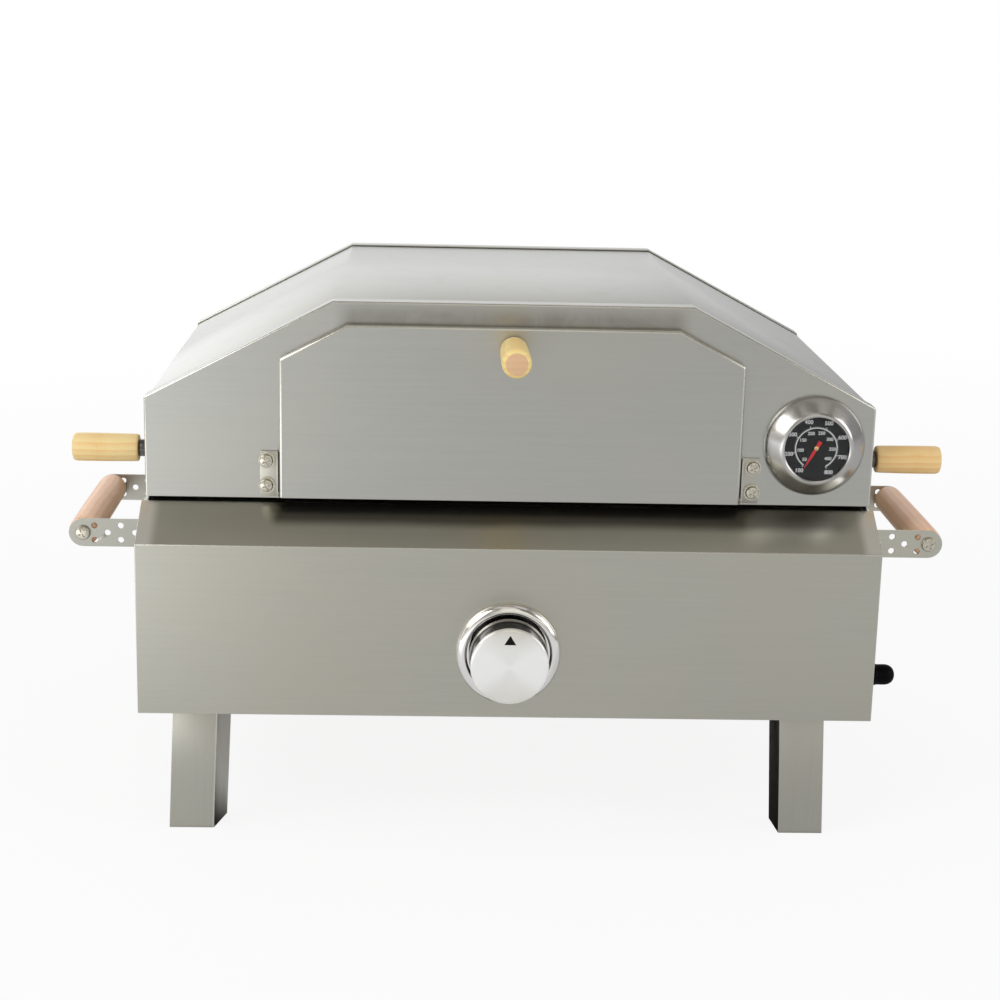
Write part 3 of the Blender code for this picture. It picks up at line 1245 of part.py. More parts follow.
def make_door_panel(frame):
    """Shallow pan over the opening, with its flanges cut back round the pivots."""
    half, top_half = DOOR_WIDTH / 2, DOOR_TOP_WIDTH / 2
    side_z, top_z = DOOR_Z + DOOR_SIDE_HEIGHT, DOOR_Z + DOOR_HEIGHT
    outline = mirrored_outline([(half, DOOR_Z), (half, side_z), (top_half, top_z)])
    panel = add_object("door_panel", prism(outline, "y", DOOR_FRONT_Y, DOOR_BACK_Y), frame)
    low = DOOR_Z - OVERRUN
    corner = offset_point((half, low), (half, side_z), (top_half, top_z), SHEET)
    top = offset_point((half, side_z), (top_half, top_z), (-top_half, top_z), SHEET)
    inner = mirrored_outline([(half - SHEET, low), corner, top])
    hollow = prism(inner, "y", DOOR_FRONT_Y + SHEET, DOOR_BACK_Y + OVERRUN)
    foot_y = DOOR_FRONT_Y + DOOR_FOOT_DEPTH
    foot_z = DOOR_Z + DOOR_FOOT_HEIGHT
    past_y = DOOR_BACK_Y + OVERRUN
    relief = [(foot_y, low), (foot_y, foot_z), (past_y, foot_z + DOOR_FOOT_SLOPE), (past_y, low)]
    clear = prism(relief, "x", -half - OVERRUN, half + OVERRUN)
    hole_radius = PIVOT_RADIUS + PIVOT_PLAY
    drills = [rod(hole_radius, -OVERRUN, OVERRUN, (sign * half, DOOR_PIVOT_Y, DOOR_PIVOT_Z), "x", SMALL_STEPS)
              for side, sign in SIDES]
    peg_at = (0, DOOR_FRONT_Y, DOOR_PEG_Z)
    drills.append(rod(BOLT_RADIUS + BOLT_PLAY, -OVERRUN, OVERRUN, peg_at, "y", HOLE_STEPS))
    cut(panel, add_object("door_hollow", hollow, frame), add_object("door_relief", clear, frame),
        add_object("door_holes", joined(drills), frame))
    as_piece(panel, brushed_steel())


def make_door_peg(frame):
    """Door peg, and its screw with the washer that spaces it off the door."""
    at = (0, DOOR_FRONT_Y, DOOR_PEG_Z)
    start = GAP + DOOR_WASHER_HEIGHT + GAP
    profile = peg_profile(start, DOOR_PEG_LENGTH, DOOR_PEG_CURVE_SHARES)
    as_piece(add_object("door_peg", turned(profile, at, "-y"), frame), pine(), smooth=True)
    inside = -SHEET - GAP
    end = start + DOOR_PEG_LENGTH * PEG_BORE_SHARE - GAP
    screw = [
        (0, inside - NUT_HEIGHT), (NUT_RADIUS, inside - NUT_HEIGHT), (NUT_RADIUS, inside),
        (BOLT_RADIUS, inside), (BOLT_RADIUS, GAP), (DOOR_WASHER_RADIUS, GAP),
        (DOOR_WASHER_RADIUS, GAP + DOOR_WASHER_HEIGHT),
        (BOLT_RADIUS, GAP + DOOR_WASHER_HEIGHT), (BOLT_RADIUS, end), (0, end),
    ]
    as_piece(add_object("door_peg_screw", turned(screw, at, "-y"), frame), plain_steel(), smooth=True)


# Lid hinges

def make_hinge(side, sign, frame, lid_frame):
    """Butt hinge: the body's leaf carries the pin, the lid's leaf turns on it."""
    x = sign * HINGE_X
    half = HINGE_WIDTH / 2
    middle = HINGE_WIDTH * HINGE_MIDDLE_SHARE / 2
    plate_y = (HINGE_PLATE_Y, HINGE_PLATE_Y + STRAP)
    axis_at = (x, HINGE_AXIS_Y, HINGE_AXIS_Z)
    clear = HINGE_KNUCKLE_RADIUS + HINGE_PLAY
    low_plate = box((x - half, x + half), plate_y, (RIM_Z - HINGE_HEIGHT, HINGE_AXIS_Z - clear))
    low_leaf = add_object("hinge_leaf_body_" + side, low_plate, frame)
    ends = [(-half, -middle - HINGE_PLAY), (middle + HINGE_PLAY, half)]
    arms = bmesh.new()
    for start, end in ends:
        add_box(arms, (x + start, x + end), plate_y, (RIM_Z - HINGE_HEIGHT / 2, HINGE_AXIS_Z))
    knuckles = [rod(HINGE_KNUCKLE_RADIUS, start, end, axis_at, "x") for start, end in ends]
    pin = rod(HINGE_PIN_RADIUS, -middle - HINGE_PLAY * 2, middle + HINGE_PLAY * 2, axis_at, "x", SMALL_STEPS)
    name = low_leaf.name
    fuse(low_leaf, add_object(name + "_arms", arms, frame),
         add_object(name + "_knuckles", joined(knuckles), frame), add_object(name + "_pin", pin, frame))
    as_piece(low_leaf, plain_steel())
    top_z = PANEL_Z + HINGE_HEIGHT
    high_plate = box((x - half, x + half), plate_y, (HINGE_AXIS_Z + clear, top_z))
    high_leaf = add_object("hinge_leaf_lid_" + side, high_plate, lid_frame)
    name = high_leaf.name
    arm = box((x - middle, x + middle), plate_y, (HINGE_AXIS_Z, top_z - HINGE_HEIGHT / 2))
    knuckle = rod(HINGE_KNUCKLE_RADIUS, -middle, middle, axis_at, "x")
    bore = rod(HINGE_PIN_RADIUS + HINGE_PLAY, -middle - OVERRUN, middle + OVERRUN, axis_at, "x", SMALL_STEPS)
    fuse(high_leaf, add_object(name + "_arm", arm, lid_frame),
         add_object(name + "_knuckle", knuckle, lid_frame))
    cut(high_leaf, add_object(name + "_bore", bore, lid_frame))
    as_piece(high_leaf, plain_steel())


# Whole oven

def build():
    clear_scene()
    origin = Frame("oven")
    body = Frame("body_frame", parent=origin)
    origin.empty.location = (0, -MIDDLE_OF_BOX_Y, 0)

    make_front_panel(body)
    make_side_panels(body)
    make_back_panel(body)
    make_top_frame(body)
    make_floor_pan(body)
    make_heat_shield(body)
    make_burner(body)
    make_burner_brackets(body)
    make_air_shutter(body)
    make_igniter(body)
    make_gas_valve(body)
    make_gas_jet(body)
    make_manifold_pipe(body)
    cap_axis = Frame("inlet_cap_axis", (HALF_WIDTH, INLET_SETBACK, INLET_Z), body)
    make_inlet(body, cap_axis)
    make_stone_rack(body)
    stone_axis = Frame("stone_axis", (0, OVEN_MIDDLE_Y, STONE_Z), body)
    make_pizza_stone(stone_axis)

    make_knob_bezel(body)
    push_axis = Frame("push_axis", (0, 0, KNOB_Z), body)
    knob_axis = Frame("knob_axis", (0, 0, KNOB_Z), push_axis)
    make_valve_stem(push_axis, knob_axis)
    make_knob(knob_axis)

    for side, sign in SIDES:
        make_carry_handle(side, sign, body)
        for end in ("front", "rear"):
            distance = LEG_SETBACK + LEG_PIVOT_BACK
            pivot_y = distance if end == "front" else BODY_DEPTH - distance
            inner_x = sign * (HALF_WIDTH - LEG_INSETS[side] - LEG_WIDTH)
            leg_axis = Frame("leg_axis_{}_{}".format(end, side), (inner_x, pivot_y, LEG_PIVOT_Z), body)
            make_leg_bracket(side, sign, end, body)
            make_leg(side, sign, end, leg_axis)

    lid_axis = Frame("lid_axis", (0, HINGE_AXIS_Y, HINGE_AXIS_Z), body)
    make_lid_wrap(lid_axis)
    make_lid_front_panel(lid_axis)
    end_panel("lid_back_panel", LID_BACK_Y, -1, lid_axis)
    needle_axis = Frame("needle_axis", (DIAL_X, LID_FRONT_Y, DIAL_Z), lid_axis)
    make_thermometer(lid_axis, needle_axis)
    for side, sign in SIDES:
        make_side_peg(side, sign, lid_axis)
        make_door_bracket(side, sign, lid_axis)
        make_hinge(side, sign, body, lid_axis)

    door_axis = Frame("door_axis", (0, DOOR_PIVOT_Y, DOOR_PIVOT_Z), lid_axis)
    make_door_panel(door_axis)
    make_door_peg(door_axis)


build()
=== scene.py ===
import math

import bmesh
import bpy
from bpy.props import FloatProperty, FloatVectorProperty, IntProperty, PointerProperty
from mathutils import Matrix, Vector


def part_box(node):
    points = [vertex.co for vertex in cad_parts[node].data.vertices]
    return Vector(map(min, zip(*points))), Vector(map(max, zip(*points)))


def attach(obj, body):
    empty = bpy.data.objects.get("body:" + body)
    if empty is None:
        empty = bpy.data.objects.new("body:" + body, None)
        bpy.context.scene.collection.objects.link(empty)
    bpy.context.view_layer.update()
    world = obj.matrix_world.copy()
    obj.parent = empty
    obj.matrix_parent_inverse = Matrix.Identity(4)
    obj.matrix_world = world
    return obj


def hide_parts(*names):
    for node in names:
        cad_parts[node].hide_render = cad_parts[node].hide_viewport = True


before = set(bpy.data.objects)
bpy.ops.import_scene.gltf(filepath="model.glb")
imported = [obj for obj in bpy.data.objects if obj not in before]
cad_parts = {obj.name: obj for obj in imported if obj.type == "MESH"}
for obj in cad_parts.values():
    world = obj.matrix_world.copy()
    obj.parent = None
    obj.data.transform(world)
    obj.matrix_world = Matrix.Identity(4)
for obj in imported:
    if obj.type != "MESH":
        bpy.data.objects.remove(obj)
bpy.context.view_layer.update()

bl_info = {
    "name": "Tabletop propane pizza oven",
    "version": (1, 0, 0),
    "blender": (4, 5, 0),
    "location": "View3D > Sidebar > Pizza oven",
    "description": "Finished pieces of a tabletop propane pizza oven, fitted to its CAD frame",
    "category": "Object",
}

SIDES = (("left", -1), ("right", 1))
ENDS = ("front", "rear")

# Lengths are in metres, and a share is a part of the size that it follows
SHEET = 0.001             # thickness of the folded sheet
STRAP = 0.0015            # thickness of the hinge leaves
GAP = 0.0003              # room between two fitted pieces
TINY = 0.00003            # how far printed marks stand off what they lie on
MERGE = 0.000003          # points closer than this are one
ROUND_BAR = MERGE * 10    # rounding of pipes and wires, which have no real corners
NARROW = 0.0018           # a face narrower than this is the cut edge of a sheet
SHORT = 0.004             # a fold shorter than this isn't rounded
FLAT_ANGLE = math.radians(0.5)
SHARP_ANGLE = math.radians(32.0)


# Sizes and colours that a user would change

def amount(name, description, default, **kind):
    return FloatProperty(name=name, description=description, default=default, **kind)


def length(name, description, default):
    return amount(name, description, default, unit="LENGTH")


def angle(name, description, degrees):
    return amount(name, description, math.radians(degrees), subtype="ANGLE")


def tint(name, description, *default):
    return FloatVectorProperty(name=name, description=description, subtype="COLOR",
                               default=default)


class OvenSizes(bpy.types.PropertyGroup):
    bend_radius: length("Bend radius", "Outside radius of a fold in the sheet", 0.0012)
    edge_radius: length("Edge radius", "Rounding of a deburred cut edge", 0.00022)
    block_radius: length("Casting radius", "Rounding of cast and machined blocks", 0.0006)
    stone_radius: length("Stone edge radius", "Rounding of the stone's edges", 0.0016)
    turned_steps: IntProperty(name="Turned steps", description="Sides of a large turned piece",
                              default=96)
    small_steps: IntProperty(name="Small steps", description="Sides of a small turned piece",
                             default=40)
    wood_chamfer: length("Wood rounding", "Rounding at the ends of a wooden grip", 0.0026)
    pointer_size: length("Pointer size", "Width of the triangle on the knob", 0.0085)
    digit_height: length("Outer digits", "Height of the dial's outer numbers", 0.0029)
    inner_digit_height: length("Inner digits", "Height of the dial's inner numbers", 0.0024)


class OvenColours(bpy.types.PropertyGroup):
    steel: tint("Brushed steel", "Tint of the brushed sheet", 0.52, 0.515, 0.472)
    polish: tint("Polished steel", "Tint of the bezel and dial case", 0.92, 0.91, 0.89)
    wood_light: tint("Pale wood", "Early wood of the grips and pegs", 1.0, 0.78, 0.37)
    wood_dark: tint("Dark wood", "Late wood of the grips and pegs", 0.94, 0.60, 0.24)
    black: tint("Black plastic", "Knob skirt and inlet cap", 0.008, 0.008, 0.009)
    needle: tint("Needle", "Paint of the thermometer's needle", 0.72, 0.012, 0.02)
    stone: tint("Stone", "Body colour of the baking stone", 0.62, 0.52, 0.39)


class OvenStage(bpy.types.PropertyGroup):
    camera_place: FloatVectorProperty(
        name="Camera place", description="Where the camera stands", subtype="TRANSLATION",
        default=(-0.057353, -1.578033, 0.607555))
    camera_heading: angle("Heading", "Turn of the camera about the upright axis", -1.999)
    camera_tilt: angle("Tilt", "Angle between the camera's view and straight down", 75.913)
    camera_roll: angle("Roll", "Turn of the camera about its own view", 1.345)
    camera_lens: amount("Lens", "Focal length in millimetres on a 36 mm frame", 72.45)
    floor_shade: amount("Floor shade", "Grey of the floor, where 1 is white", 0.90)
    floor_lift: amount("Floor lift", "How far the floor seen by the camera goes to white", 0.88)
    sky_level: amount("Sky level", "Strength of the soft light from all round", 0.62)
    back_level: amount("Back level", "Strength of the reflected room behind", 1.16)
    front_level: amount("Front level", "Strength of the reflected room in front", 0.55)
    ceiling_level: amount("Ceiling level", "Strength of the reflected ceiling", 0.40)
    card_level: amount("Card level", "Strength of the reflected card at the front left", 2.0)
    key_power: amount("Key lamp", "Power of the large lamp at the front left", 14.0, unit="POWER")
    back_power: amount("Back lamp", "Power of the lamp behind on the left", 9.0, unit="POWER")
    fill_power: amount("Fill lamp", "Power of the lamp at the front right", 6.0, unit="POWER")


def sizes():
    return bpy.context.scene.oven_sizes


def colours():
    return bpy.context.scene.oven_colours


# Shader nodes

def operation(kind, reflected=False):
    """An operator of Signal, which adds a Math node of this kind."""

    def apply(self, other):
        return self.made(kind, *((other, self) if reflected else (self, other)))

    return apply


class Signal:
    """One output of a finish's nodes. Sums and products of signals add the Math nodes for them."""

    def __init__(self, finish, socket):
        self.finish = finish
        self.socket = socket

    def made(self, kind, *values):
        """What a Math node of this kind makes of signals and numbers."""
        return self.finish.add("ShaderNodeMath", {"operation": kind}, dict(enumerate(values)))

    __add__ = __radd__ = operation("ADD")
    __sub__, __rsub__ = operation("SUBTRACT"), operation("SUBTRACT", True)
    __mul__ = __rmul__ = operation("MULTIPLY")
    __truediv__ = operation("DIVIDE")
    __pow__ = operation("POWER")

    def __neg__(self):
        return self * -1.0

    def between(self, low, high):
        """0 below low, 1 above high, and smooth from one to the other."""
        return self.finish.add("ShaderNodeMapRange", {"interpolation_type": "SMOOTHSTEP"},
                               {"Value": self, "From Min": low, "From Max": high})


class Finish:
    """The node tree of a material or of the world, with one method that adds any node."""

    def __init__(self, owner):
        owner.use_nodes = True
        self.owner = owner
        self.tree = owner.node_tree
        self.tree.nodes.clear()

    def add(self, kind, settings=None, values=None, out=0):
        """Adds a node: first its settings, then the values or the links of its sockets."""
        node = self.tree.nodes.new(kind)
        for name, value in (settings or {}).items():
            if name == "stops":
                ramp = node.color_ramp
                while len(ramp.elements) < len(value):
                    ramp.elements.new(0.5)
                for element, (place, colour) in zip(ramp.elements, value):
                    element.position = place
                    element.color = (*colour, 1.0)
            else:
                setattr(node, name, value)
        for name, value in (values or {}).items():
            if isinstance(value, Signal):
                self.tree.links.new(value.socket, node.inputs[name])
            else:
                node.inputs[name].default_value = value
        return Signal(self, node.outputs[out]) if node.outputs else node

    def place(self, scale=(1, 1, 1), shift=(0, 0, 0), turn=(0, 0, 0)):
        """Object coordinates, moved, turned and scaled by a Mapping node."""
        point = self.add("ShaderNodeTexCoord", out="Object")
        return self.add("ShaderNodeMapping", {"vector_type": "POINT"},
                        {"Vector": point, "Location": shift, "Rotation": turn, "Scale": scale})

    def axes(self, point=None):
        """The three coordinates of a point."""
        split = self.add("ShaderNodeSeparateXYZ", {}, {"Vector": point or self.place()})
        return [Signal(self, output) for output in split.socket.node.outputs]

    def rays(self, *kinds):
        """For each kind of light path, 1 on such a path and 0 on any other."""
        path = self.add("ShaderNodeLightPath").socket.node
        return [Signal(self, path.outputs["Is {} Ray".format(kind)]) for kind in kinds]

    def noise(self, scale, detail=2.0, roughness=0.5, distortion=0.0, point=None):
        return self.add("ShaderNodeTexNoise", {"noise_dimensions": "3D"},
                        {"Vector": point or self.place(), "Scale": scale, "Detail": detail,
                         "Roughness": roughness, "Distortion": distortion})

    def blended(self, factor, first, second):
        """Mix of two colours, each of them a signal or three numbers."""
        first, second = (end if isinstance(end, Signal) else (*end, 1.0)
                         for end in (first, second))
        return self.add("ShaderNodeMix", {"data_type": "RGBA", "blend_type": "MIX"},
                        {0: factor, 6: first, 7: second}, out=2)

    def glow(self, level):
        return self.add("ShaderNodeEmission", {}, {"Color": (1, 1, 1, 1), "Strength": level})

    def skin(self, colour, rough, relief=(), others=None):
        """Principled surface. The relief is a height, its strength and its distance."""
        values = {"Base Color": colour, "Roughness": rough, **(others or {})}
        if relief:
            names = ("Height", "Strength", "Distance")
            values["Normal"] = self.add("ShaderNodeBump", {}, dict(zip(names, relief)))
        self.surface(self.add("ShaderNodeBsdfPrincipled", {}, values))

    def surface(self, shader):
        self.add("ShaderNodeOutputMaterial", {}, {"Surface": shader})


def darker(colour, share):
    return tuple(part * share for part in colour)


def cast_on(colour, cast):
    """A colour times another one."""
    return tuple(part * share for part, share in zip(colour, cast))


FINISHES = {}


def made_once(name):
    """Turns a function that adds a finish's nodes into one that hands out the finished material.

    The name may hold the function's first value, and each name is made the first time it is used.
    """

    def kept(add_nodes):
        def finish_of(*values):
            full_name = name.format(*values)
            if full_name not in FINISHES:
                finish = Finish(bpy.data.materials.new(full_name))
                add_nodes(finish, *values)
                FINISHES[full_name] = finish.owner
            return FINISHES[full_name]

        return finish_of

    return kept


# Finishes

METAL = {"Metallic": 1.0}
BODY_CAST = (1.0, 1.0, 0.97)     # the body's sheet is a little warmer than the lid's
LID_CAST = (0.985, 1.0, 1.03)
GRAIN_SCALE = {"x": (0.02, 1, 1), "y": (1, 0.02, 1), "z": (1, 1, 0.02)}
# Painted shade: a dark band on the sill under the door and one on the lid's front over the door
SILL_SHADE = (0.045, 0.043, 0.034)
SILL_SHADE_RISE = (0.2289, 0.2352)    # heights between which the painted shade on the sill builds up
MOUTH_LEFT = (-0.178, -0.168)    # the painted shade's left end
MOUTH_STEP = (0.170, 0.176)      # where it gets thinner on the right
MOUTH_RIGHT = (0.225, 0.262)     # its right end
SILL_RISE = (0.2186, 0.2200)     # the fold between the base's front and the sill
SILL_WARM = (0.42, 0.36, 0.26)
SILL_ENDS = (0.0645, 0.0690)     # squared distances from the middle
# painted highlight on the sill's two ends
SILL_END_LIGHT = (0.95, 0.94, 0.90)
BROW = (0.380, 0.396)            # heights between which the painted shade over the door fades out
BROW_ENDS = (0.0130, 0.0174)     # squared distances from the middle
# colour of the painted shade over the door
BROW_SHADE = (0.16, 0.135, 0.10)


def smoked_sill(finish, shade, clouds):
    """Painted shade darkens the sill in front of the oven's mouth, and painted highlights light its
    two ends.
    """
    across, _, up = finish.axes()
    mouth = across.between(*MOUTH_LEFT) * (1.0 - across.between(*MOUTH_STEP) * 0.18)
    mouth = mouth * (1.0 - across.between(*MOUTH_RIGHT))
    drift = up + (clouds - 0.5) * 0.003
    # painted shade on the sill under the door
    shade = finish.blended(mouth * drift.between(*SILL_SHADE_RISE) * 0.83, shade, SILL_SHADE)
    shade = finish.blended(drift.between(*SILL_RISE) * 0.07, shade, SILL_WARM)
    # painted highlights on the sill's two ends
    ends = (across * across).between(*SILL_ENDS) * drift.between(*SILL_RISE)
    return finish.blended(ends * 0.75, shade, SILL_END_LIGHT)


def smoked_brow(finish, shade, smears):
    """Painted shade, in smeary streaks, darkens the lid's front just over the door."""
    across, _, up = finish.axes()
    # painted shade over the door, streaked by the smears noise
    haze_and_shade = (1.0 - (across * across).between(*BROW_ENDS)) * (1.0 - up.between(*BROW))
    haze_and_shade = haze_and_shade * (0.35 + smears * 0.8)
    return finish.blended(haze_and_shade.made("MINIMUM", haze_and_shade, 0.85) * 0.62, shade, BROW_SHADE)


@made_once("{}")
def satin_sheet(finish, name, along, stain_and_shade, cast):
    """Satin sheet with its grain along one axis, faint handling marks and broad cloudiness."""
    steel = cast_on(colours().steel, cast)
    grain = finish.place(scale=GRAIN_SCALE[along])
    lines = finish.noise(2600.0, 3.0, 0.65, point=grain)
    bands = finish.noise(420.0, 2.0, 0.5, point=grain)
    clouds = finish.noise(9.0, 3.0, 0.55)
    smears = finish.noise(38.0, 4.0, 0.62, 1.4)
    streak = lines * 0.55 + bands * 0.45
    shade = finish.blended(streak, darker(steel, 0.90), darker(steel, 1.09))
    warm = cast_on(steel, (1.03, 1.0, 0.95))
    shade = finish.blended(clouds.between(0.40, 0.70) * 0.45, shade, warm)
    # the sill and the brow get painted shade
    if stain_and_shade == "sill":
        shade = smoked_sill(finish, shade, clouds)
    if stain_and_shade == "brow":
        shade = smoked_brow(finish, shade, smears)
    rough = 0.25 + lines * 0.10 + smears.between(0.52, 0.72) * 0.035 + clouds * 0.04
    finish.skin(shade, rough, (streak, 0.22, 0.00006), {"Metallic": 1.0, "IOR": 2.5})


def brushed_steel(along, stain_and_shade="", cast=BODY_CAST):
    family = stain_and_shade + "_steel" if stain_and_shade else "brushed_steel_along_" + along
    return satin_sheet("{}_{:.0f}".format(family, cast[0] * 1000), along, stain_and_shade, cast)


@made_once("worked_edge")
def worked_edge(finish):
    """The same steel where it was folded or deburred: smoother and a little brighter."""
    nicks = finish.noise(260.0, 3.0, 0.6)
    shade = finish.blended(nicks, darker(colours().steel, 1.12), darker(colours().steel, 1.36))
    finish.skin(shade, 0.17 + nicks * 0.12, (nicks, 0.15, 0.00005), METAL)


@made_once("{}")
def polished_steel(finish, name, haze_and_shade, lift):
    """Buffed steel with hairline scratches and a trace of fingerprints."""
    steel = tuple(min(part * lift, 1.0) for part in colours().polish)
    hairs = finish.noise(1500.0, 2.0, 0.7, point=finish.place(scale=(1, 1, 0.06)))
    prints = finish.noise(120.0, 4.0, 0.6, 2.2)
    shade = finish.blended(prints.between(0.45, 0.75) * 0.5, steel, darker(steel, 0.93))
    rough = haze_and_shade + 0.055 + hairs * 0.05 + prints.between(0.5, 0.75) * 0.06
    finish.skin(shade, rough, (hairs, 0.05, 0.00003), METAL)


@made_once("knob_face")
def spun_face(finish, centre, reach):
    """Chromed face that was turned on a lathe, with a painted sheen that fans out from the middle
    to the sides.
    """
    across, _, up = finish.axes(finish.place(shift=(-centre[0], 0, -centre[2])))
    across, up = across * across, up * up
    rings = finish.noise(1500.0, 2.0, 0.7)
    drift = finish.noise(55.0, 2.0, 0.5)
    away = (across + up).between(0.0, reach * reach)
    # painted sheen: lighter to the sides of the face, darker above and below its middle
    painted_sheen = (up / (across + up + 0.000001)).between(0.10, 1.0) * (0.35 + away * 0.65)
    shade = finish.blended(painted_sheen * (0.45 + drift * 1.1), (1.0, 1.0, 0.985), (0.78, 0.765, 0.70))
    finish.skin(shade, 0.125 + rings * 0.05, (rings, 0.05, 0.00003), {"Metallic": 0.45})


@made_once("plated_screw")
def plated_screw(finish):
    """Zinc plate with a warm cast and small dull spots."""
    spots = finish.noise(900.0, 3.0, 0.6)
    shade = finish.blended(spots.between(0.35, 0.7), (0.72, 0.69, 0.60), (0.52, 0.49, 0.41))
    finish.skin(shade, 0.14 + spots * 0.16, (spots, 0.2, 0.00005), METAL)


@made_once("plain_steel")
def plain_steel(finish):
    """Mill-finish steel of the hidden straps and plates."""
    mill = finish.noise(55.0, 5.0, 0.6, 0.6)
    fine = finish.noise(1400.0, 2.0, 0.6)
    shade = finish.blended(mill, (0.36, 0.355, 0.34), (0.50, 0.49, 0.47))
    finish.skin(shade, 0.30 + mill * 0.14 + fine * 0.05, (fine, 0.25, 0.00005), METAL)


HEAT_COLOURS = ((0.30, (0.50, 0.48, 0.44)), (0.42, (0.55, 0.43, 0.26)), (0.52, (0.40, 0.25, 0.17)),
                (0.61, (0.25, 0.23, 0.33)), (0.74, (0.38, 0.39, 0.42)))


@made_once("heat_stained_steel")
def heat_stained_steel(finish):
    """Steel that the flame has coloured straw, brown and blue, with a sooty bloom."""
    drift = finish.noise(11.0, 3.0, 0.5, 0.8)
    soot = finish.noise(90.0, 5.0, 0.65)
    stain_and_shade = finish.add("ShaderNodeValToRGB", {"stops": HEAT_COLOURS}, {"Fac": drift})
    shade = finish.blended(soot.between(0.52, 0.75) * 0.6, stain_and_shade, (0.12, 0.11, 0.10))
    finish.skin(shade, 0.30 + soot * 0.25, (soot, 0.3, 0.00012), METAL)


@made_once("turned_brass")
def brass(finish):
    """Turned brass with faint tarnish."""
    dull = finish.noise(140.0, 4.0, 0.6)
    shade = finish.blended(dull.between(0.4, 0.7), (0.78, 0.56, 0.24), (0.56, 0.38, 0.16))
    finish.skin(shade, 0.20 + dull * 0.18, (dull, 0.15, 0.00005), METAL)


WOOD_TURNS = {"x": (0, math.radians(90), 0), "y": (math.radians(90), 0, 0)}
GRIP_CAST = (0.91, 0.77, 1.10)    # the grips are of a pinker wood than the pegs
RINGS_PER_METRE = 230.0


@made_once("{}")
def lacquered_wood(finish, name, along, heart, cast, cut_end):
    """Pale close-grained wood, its rings about a heart beside the piece, under a satin lacquer.

    A piece whose end is seen has its distance from the middle of the oven as cut_end: end grain
    is pinker there.
    """
    light, dark = (cast_on(wood, cast) for wood in (colours().wood_light, colours().wood_dark))
    turn = WOOD_TURNS[along]

    def along_grain(stretch, scale, detail, roughness):
        point = finish.place(turn=turn, scale=(1, 1, stretch))
        return finish.noise(scale, detail, roughness, point=point)

    bent = finish.add("ShaderNodeVectorMath", {"operation": "MULTIPLY_ADD"},
                      {0: along_grain(0.25, 26.0, 3.0, 0.5), 1: (0.006, 0.006, 0.0),
                       2: finish.place(shift=heart, turn=turn)})
    across, up, _ = finish.axes(bent)
    radius = (across * across + up * up) ** 0.5
    saw = radius.made("FRACT", radius * RINGS_PER_METRE)
    ring = saw.between(0.15, 0.95) * (1.0 - saw.between(0.93, 1.0))
    fibre = along_grain(0.035, 1500.0, 3.0, 0.65)
    pore = along_grain(0.06, 700.0, 2.0, 0.5)
    patch = along_grain(0.3, 45.0, 2.0, 0.5)
    depth = ring * 0.30 + fibre * 0.20 + patch * 0.50
    shade = finish.blended(depth.between(0.25, 0.85), light, dark)
    shade = finish.blended(pore.between(0.66, 0.76) * 0.30, shade, darker(dark, 0.66))
    if cut_end:
        outwards = finish.axes()["xyz".index(along)]
        end_face = outwards.made("ABSOLUTE", outwards).between(cut_end - 0.00035, cut_end - 0.0001)
        grain = finish.blended(ring * 0.35 + patch * 0.65, (0.82, 0.54, 0.31), (0.74, 0.45, 0.25))
        shade = finish.blended(end_face, shade, grain)
    height = fibre * 0.6 - pore.between(0.60, 0.75) * 0.8
    finish.skin(shade, 0.46 + fibre * 0.16, (height, 0.30, 0.00010),
                {"Coat Weight": 0.20 + patch * 0.15, "Coat Roughness": 0.22,
                 "Specular IOR Level": 0.45})


@made_once("gloss_black_plastic")
def black_plastic(finish):
    """Glossy moulded plastic with a fine orange peel and light dust."""
    peel = finish.noise(900.0, 2.0, 0.5)
    dust = finish.noise(2200.0, 2.0, 0.6)
    shade = finish.blended(dust.between(0.66, 0.78) * 0.35, colours().black, (0.10, 0.10, 0.10))
    finish.skin(shade, 0.08 + dust.between(0.5, 0.8) * 0.12, (peel, 0.06, 0.00005),
                {"Specular IOR Level": 0.32})


@made_once("soft_black_rubber")
def black_rubber(finish):
    """Soft matt rubber of the inlet cap and the wire's cover."""
    grain = finish.noise(1800.0, 3.0, 0.6)
    bloom = finish.noise(130.0, 3.0, 0.5)
    shade = finish.blended(bloom.between(0.45, 0.75) * 0.4, darker(colours().black, 0.15),
                           (0.006, 0.006, 0.006))
    finish.skin(shade, 0.40 + grain * 0.16, (grain, 0.25, 0.00008), {"Specular IOR Level": 0.07})


@made_once("dial_black")
def dial_black(finish):
    """Printed black of the dial's face."""
    mist = finish.noise(600.0, 3.0, 0.6)
    shade = finish.blended(mist, (0.003, 0.004, 0.005), (0.010, 0.011, 0.013))
    finish.skin(shade, 0.38 + mist * 0.12, (mist, 0.08, 0.00003), {"Specular IOR Level": 0.25})


@made_once("dial_white")
def dial_white(finish):
    """White print, slightly thin in places."""
    thin = finish.noise(3000.0, 2.0, 0.6)
    shade = finish.blended(thin.between(0.3, 0.8), (0.80, 0.81, 0.80), (0.62, 0.63, 0.63))
    finish.skin(shade, 0.45 + thin * 0.1)


@made_once("needle_red")
def needle_red(finish):
    """Red lacquer of the needle."""
    coat = finish.noise(1200.0, 2.0, 0.5)
    shade = finish.blended(coat, colours().needle, darker(colours().needle, 0.8))
    finish.skin(shade, 0.28 + coat * 0.1, (coat, 0.05, 0.00003))


@made_once("pointer_black")
def pointer_black(finish):
    """Black fill of the triangle on the knob."""
    coat = finish.noise(1600.0, 2.0, 0.5)
    shade = finish.blended(coat, (0.003, 0.003, 0.003), (0.008, 0.008, 0.008))
    finish.skin(shade, 0.34 + coat * 0.12, others={"Specular IOR Level": 0.12})


@made_once("clear_glass")
def clear_glass(finish):
    """Window glass of the dial, with a trace of grease that dulls it in places."""
    grease = finish.noise(160.0, 4.0, 0.6, 1.0)
    finish.skin((1, 1, 1, 1), grease.between(0.5, 0.8) * 0.04,
                others={"Transmission Weight": 1.0, "IOR": 1.22})


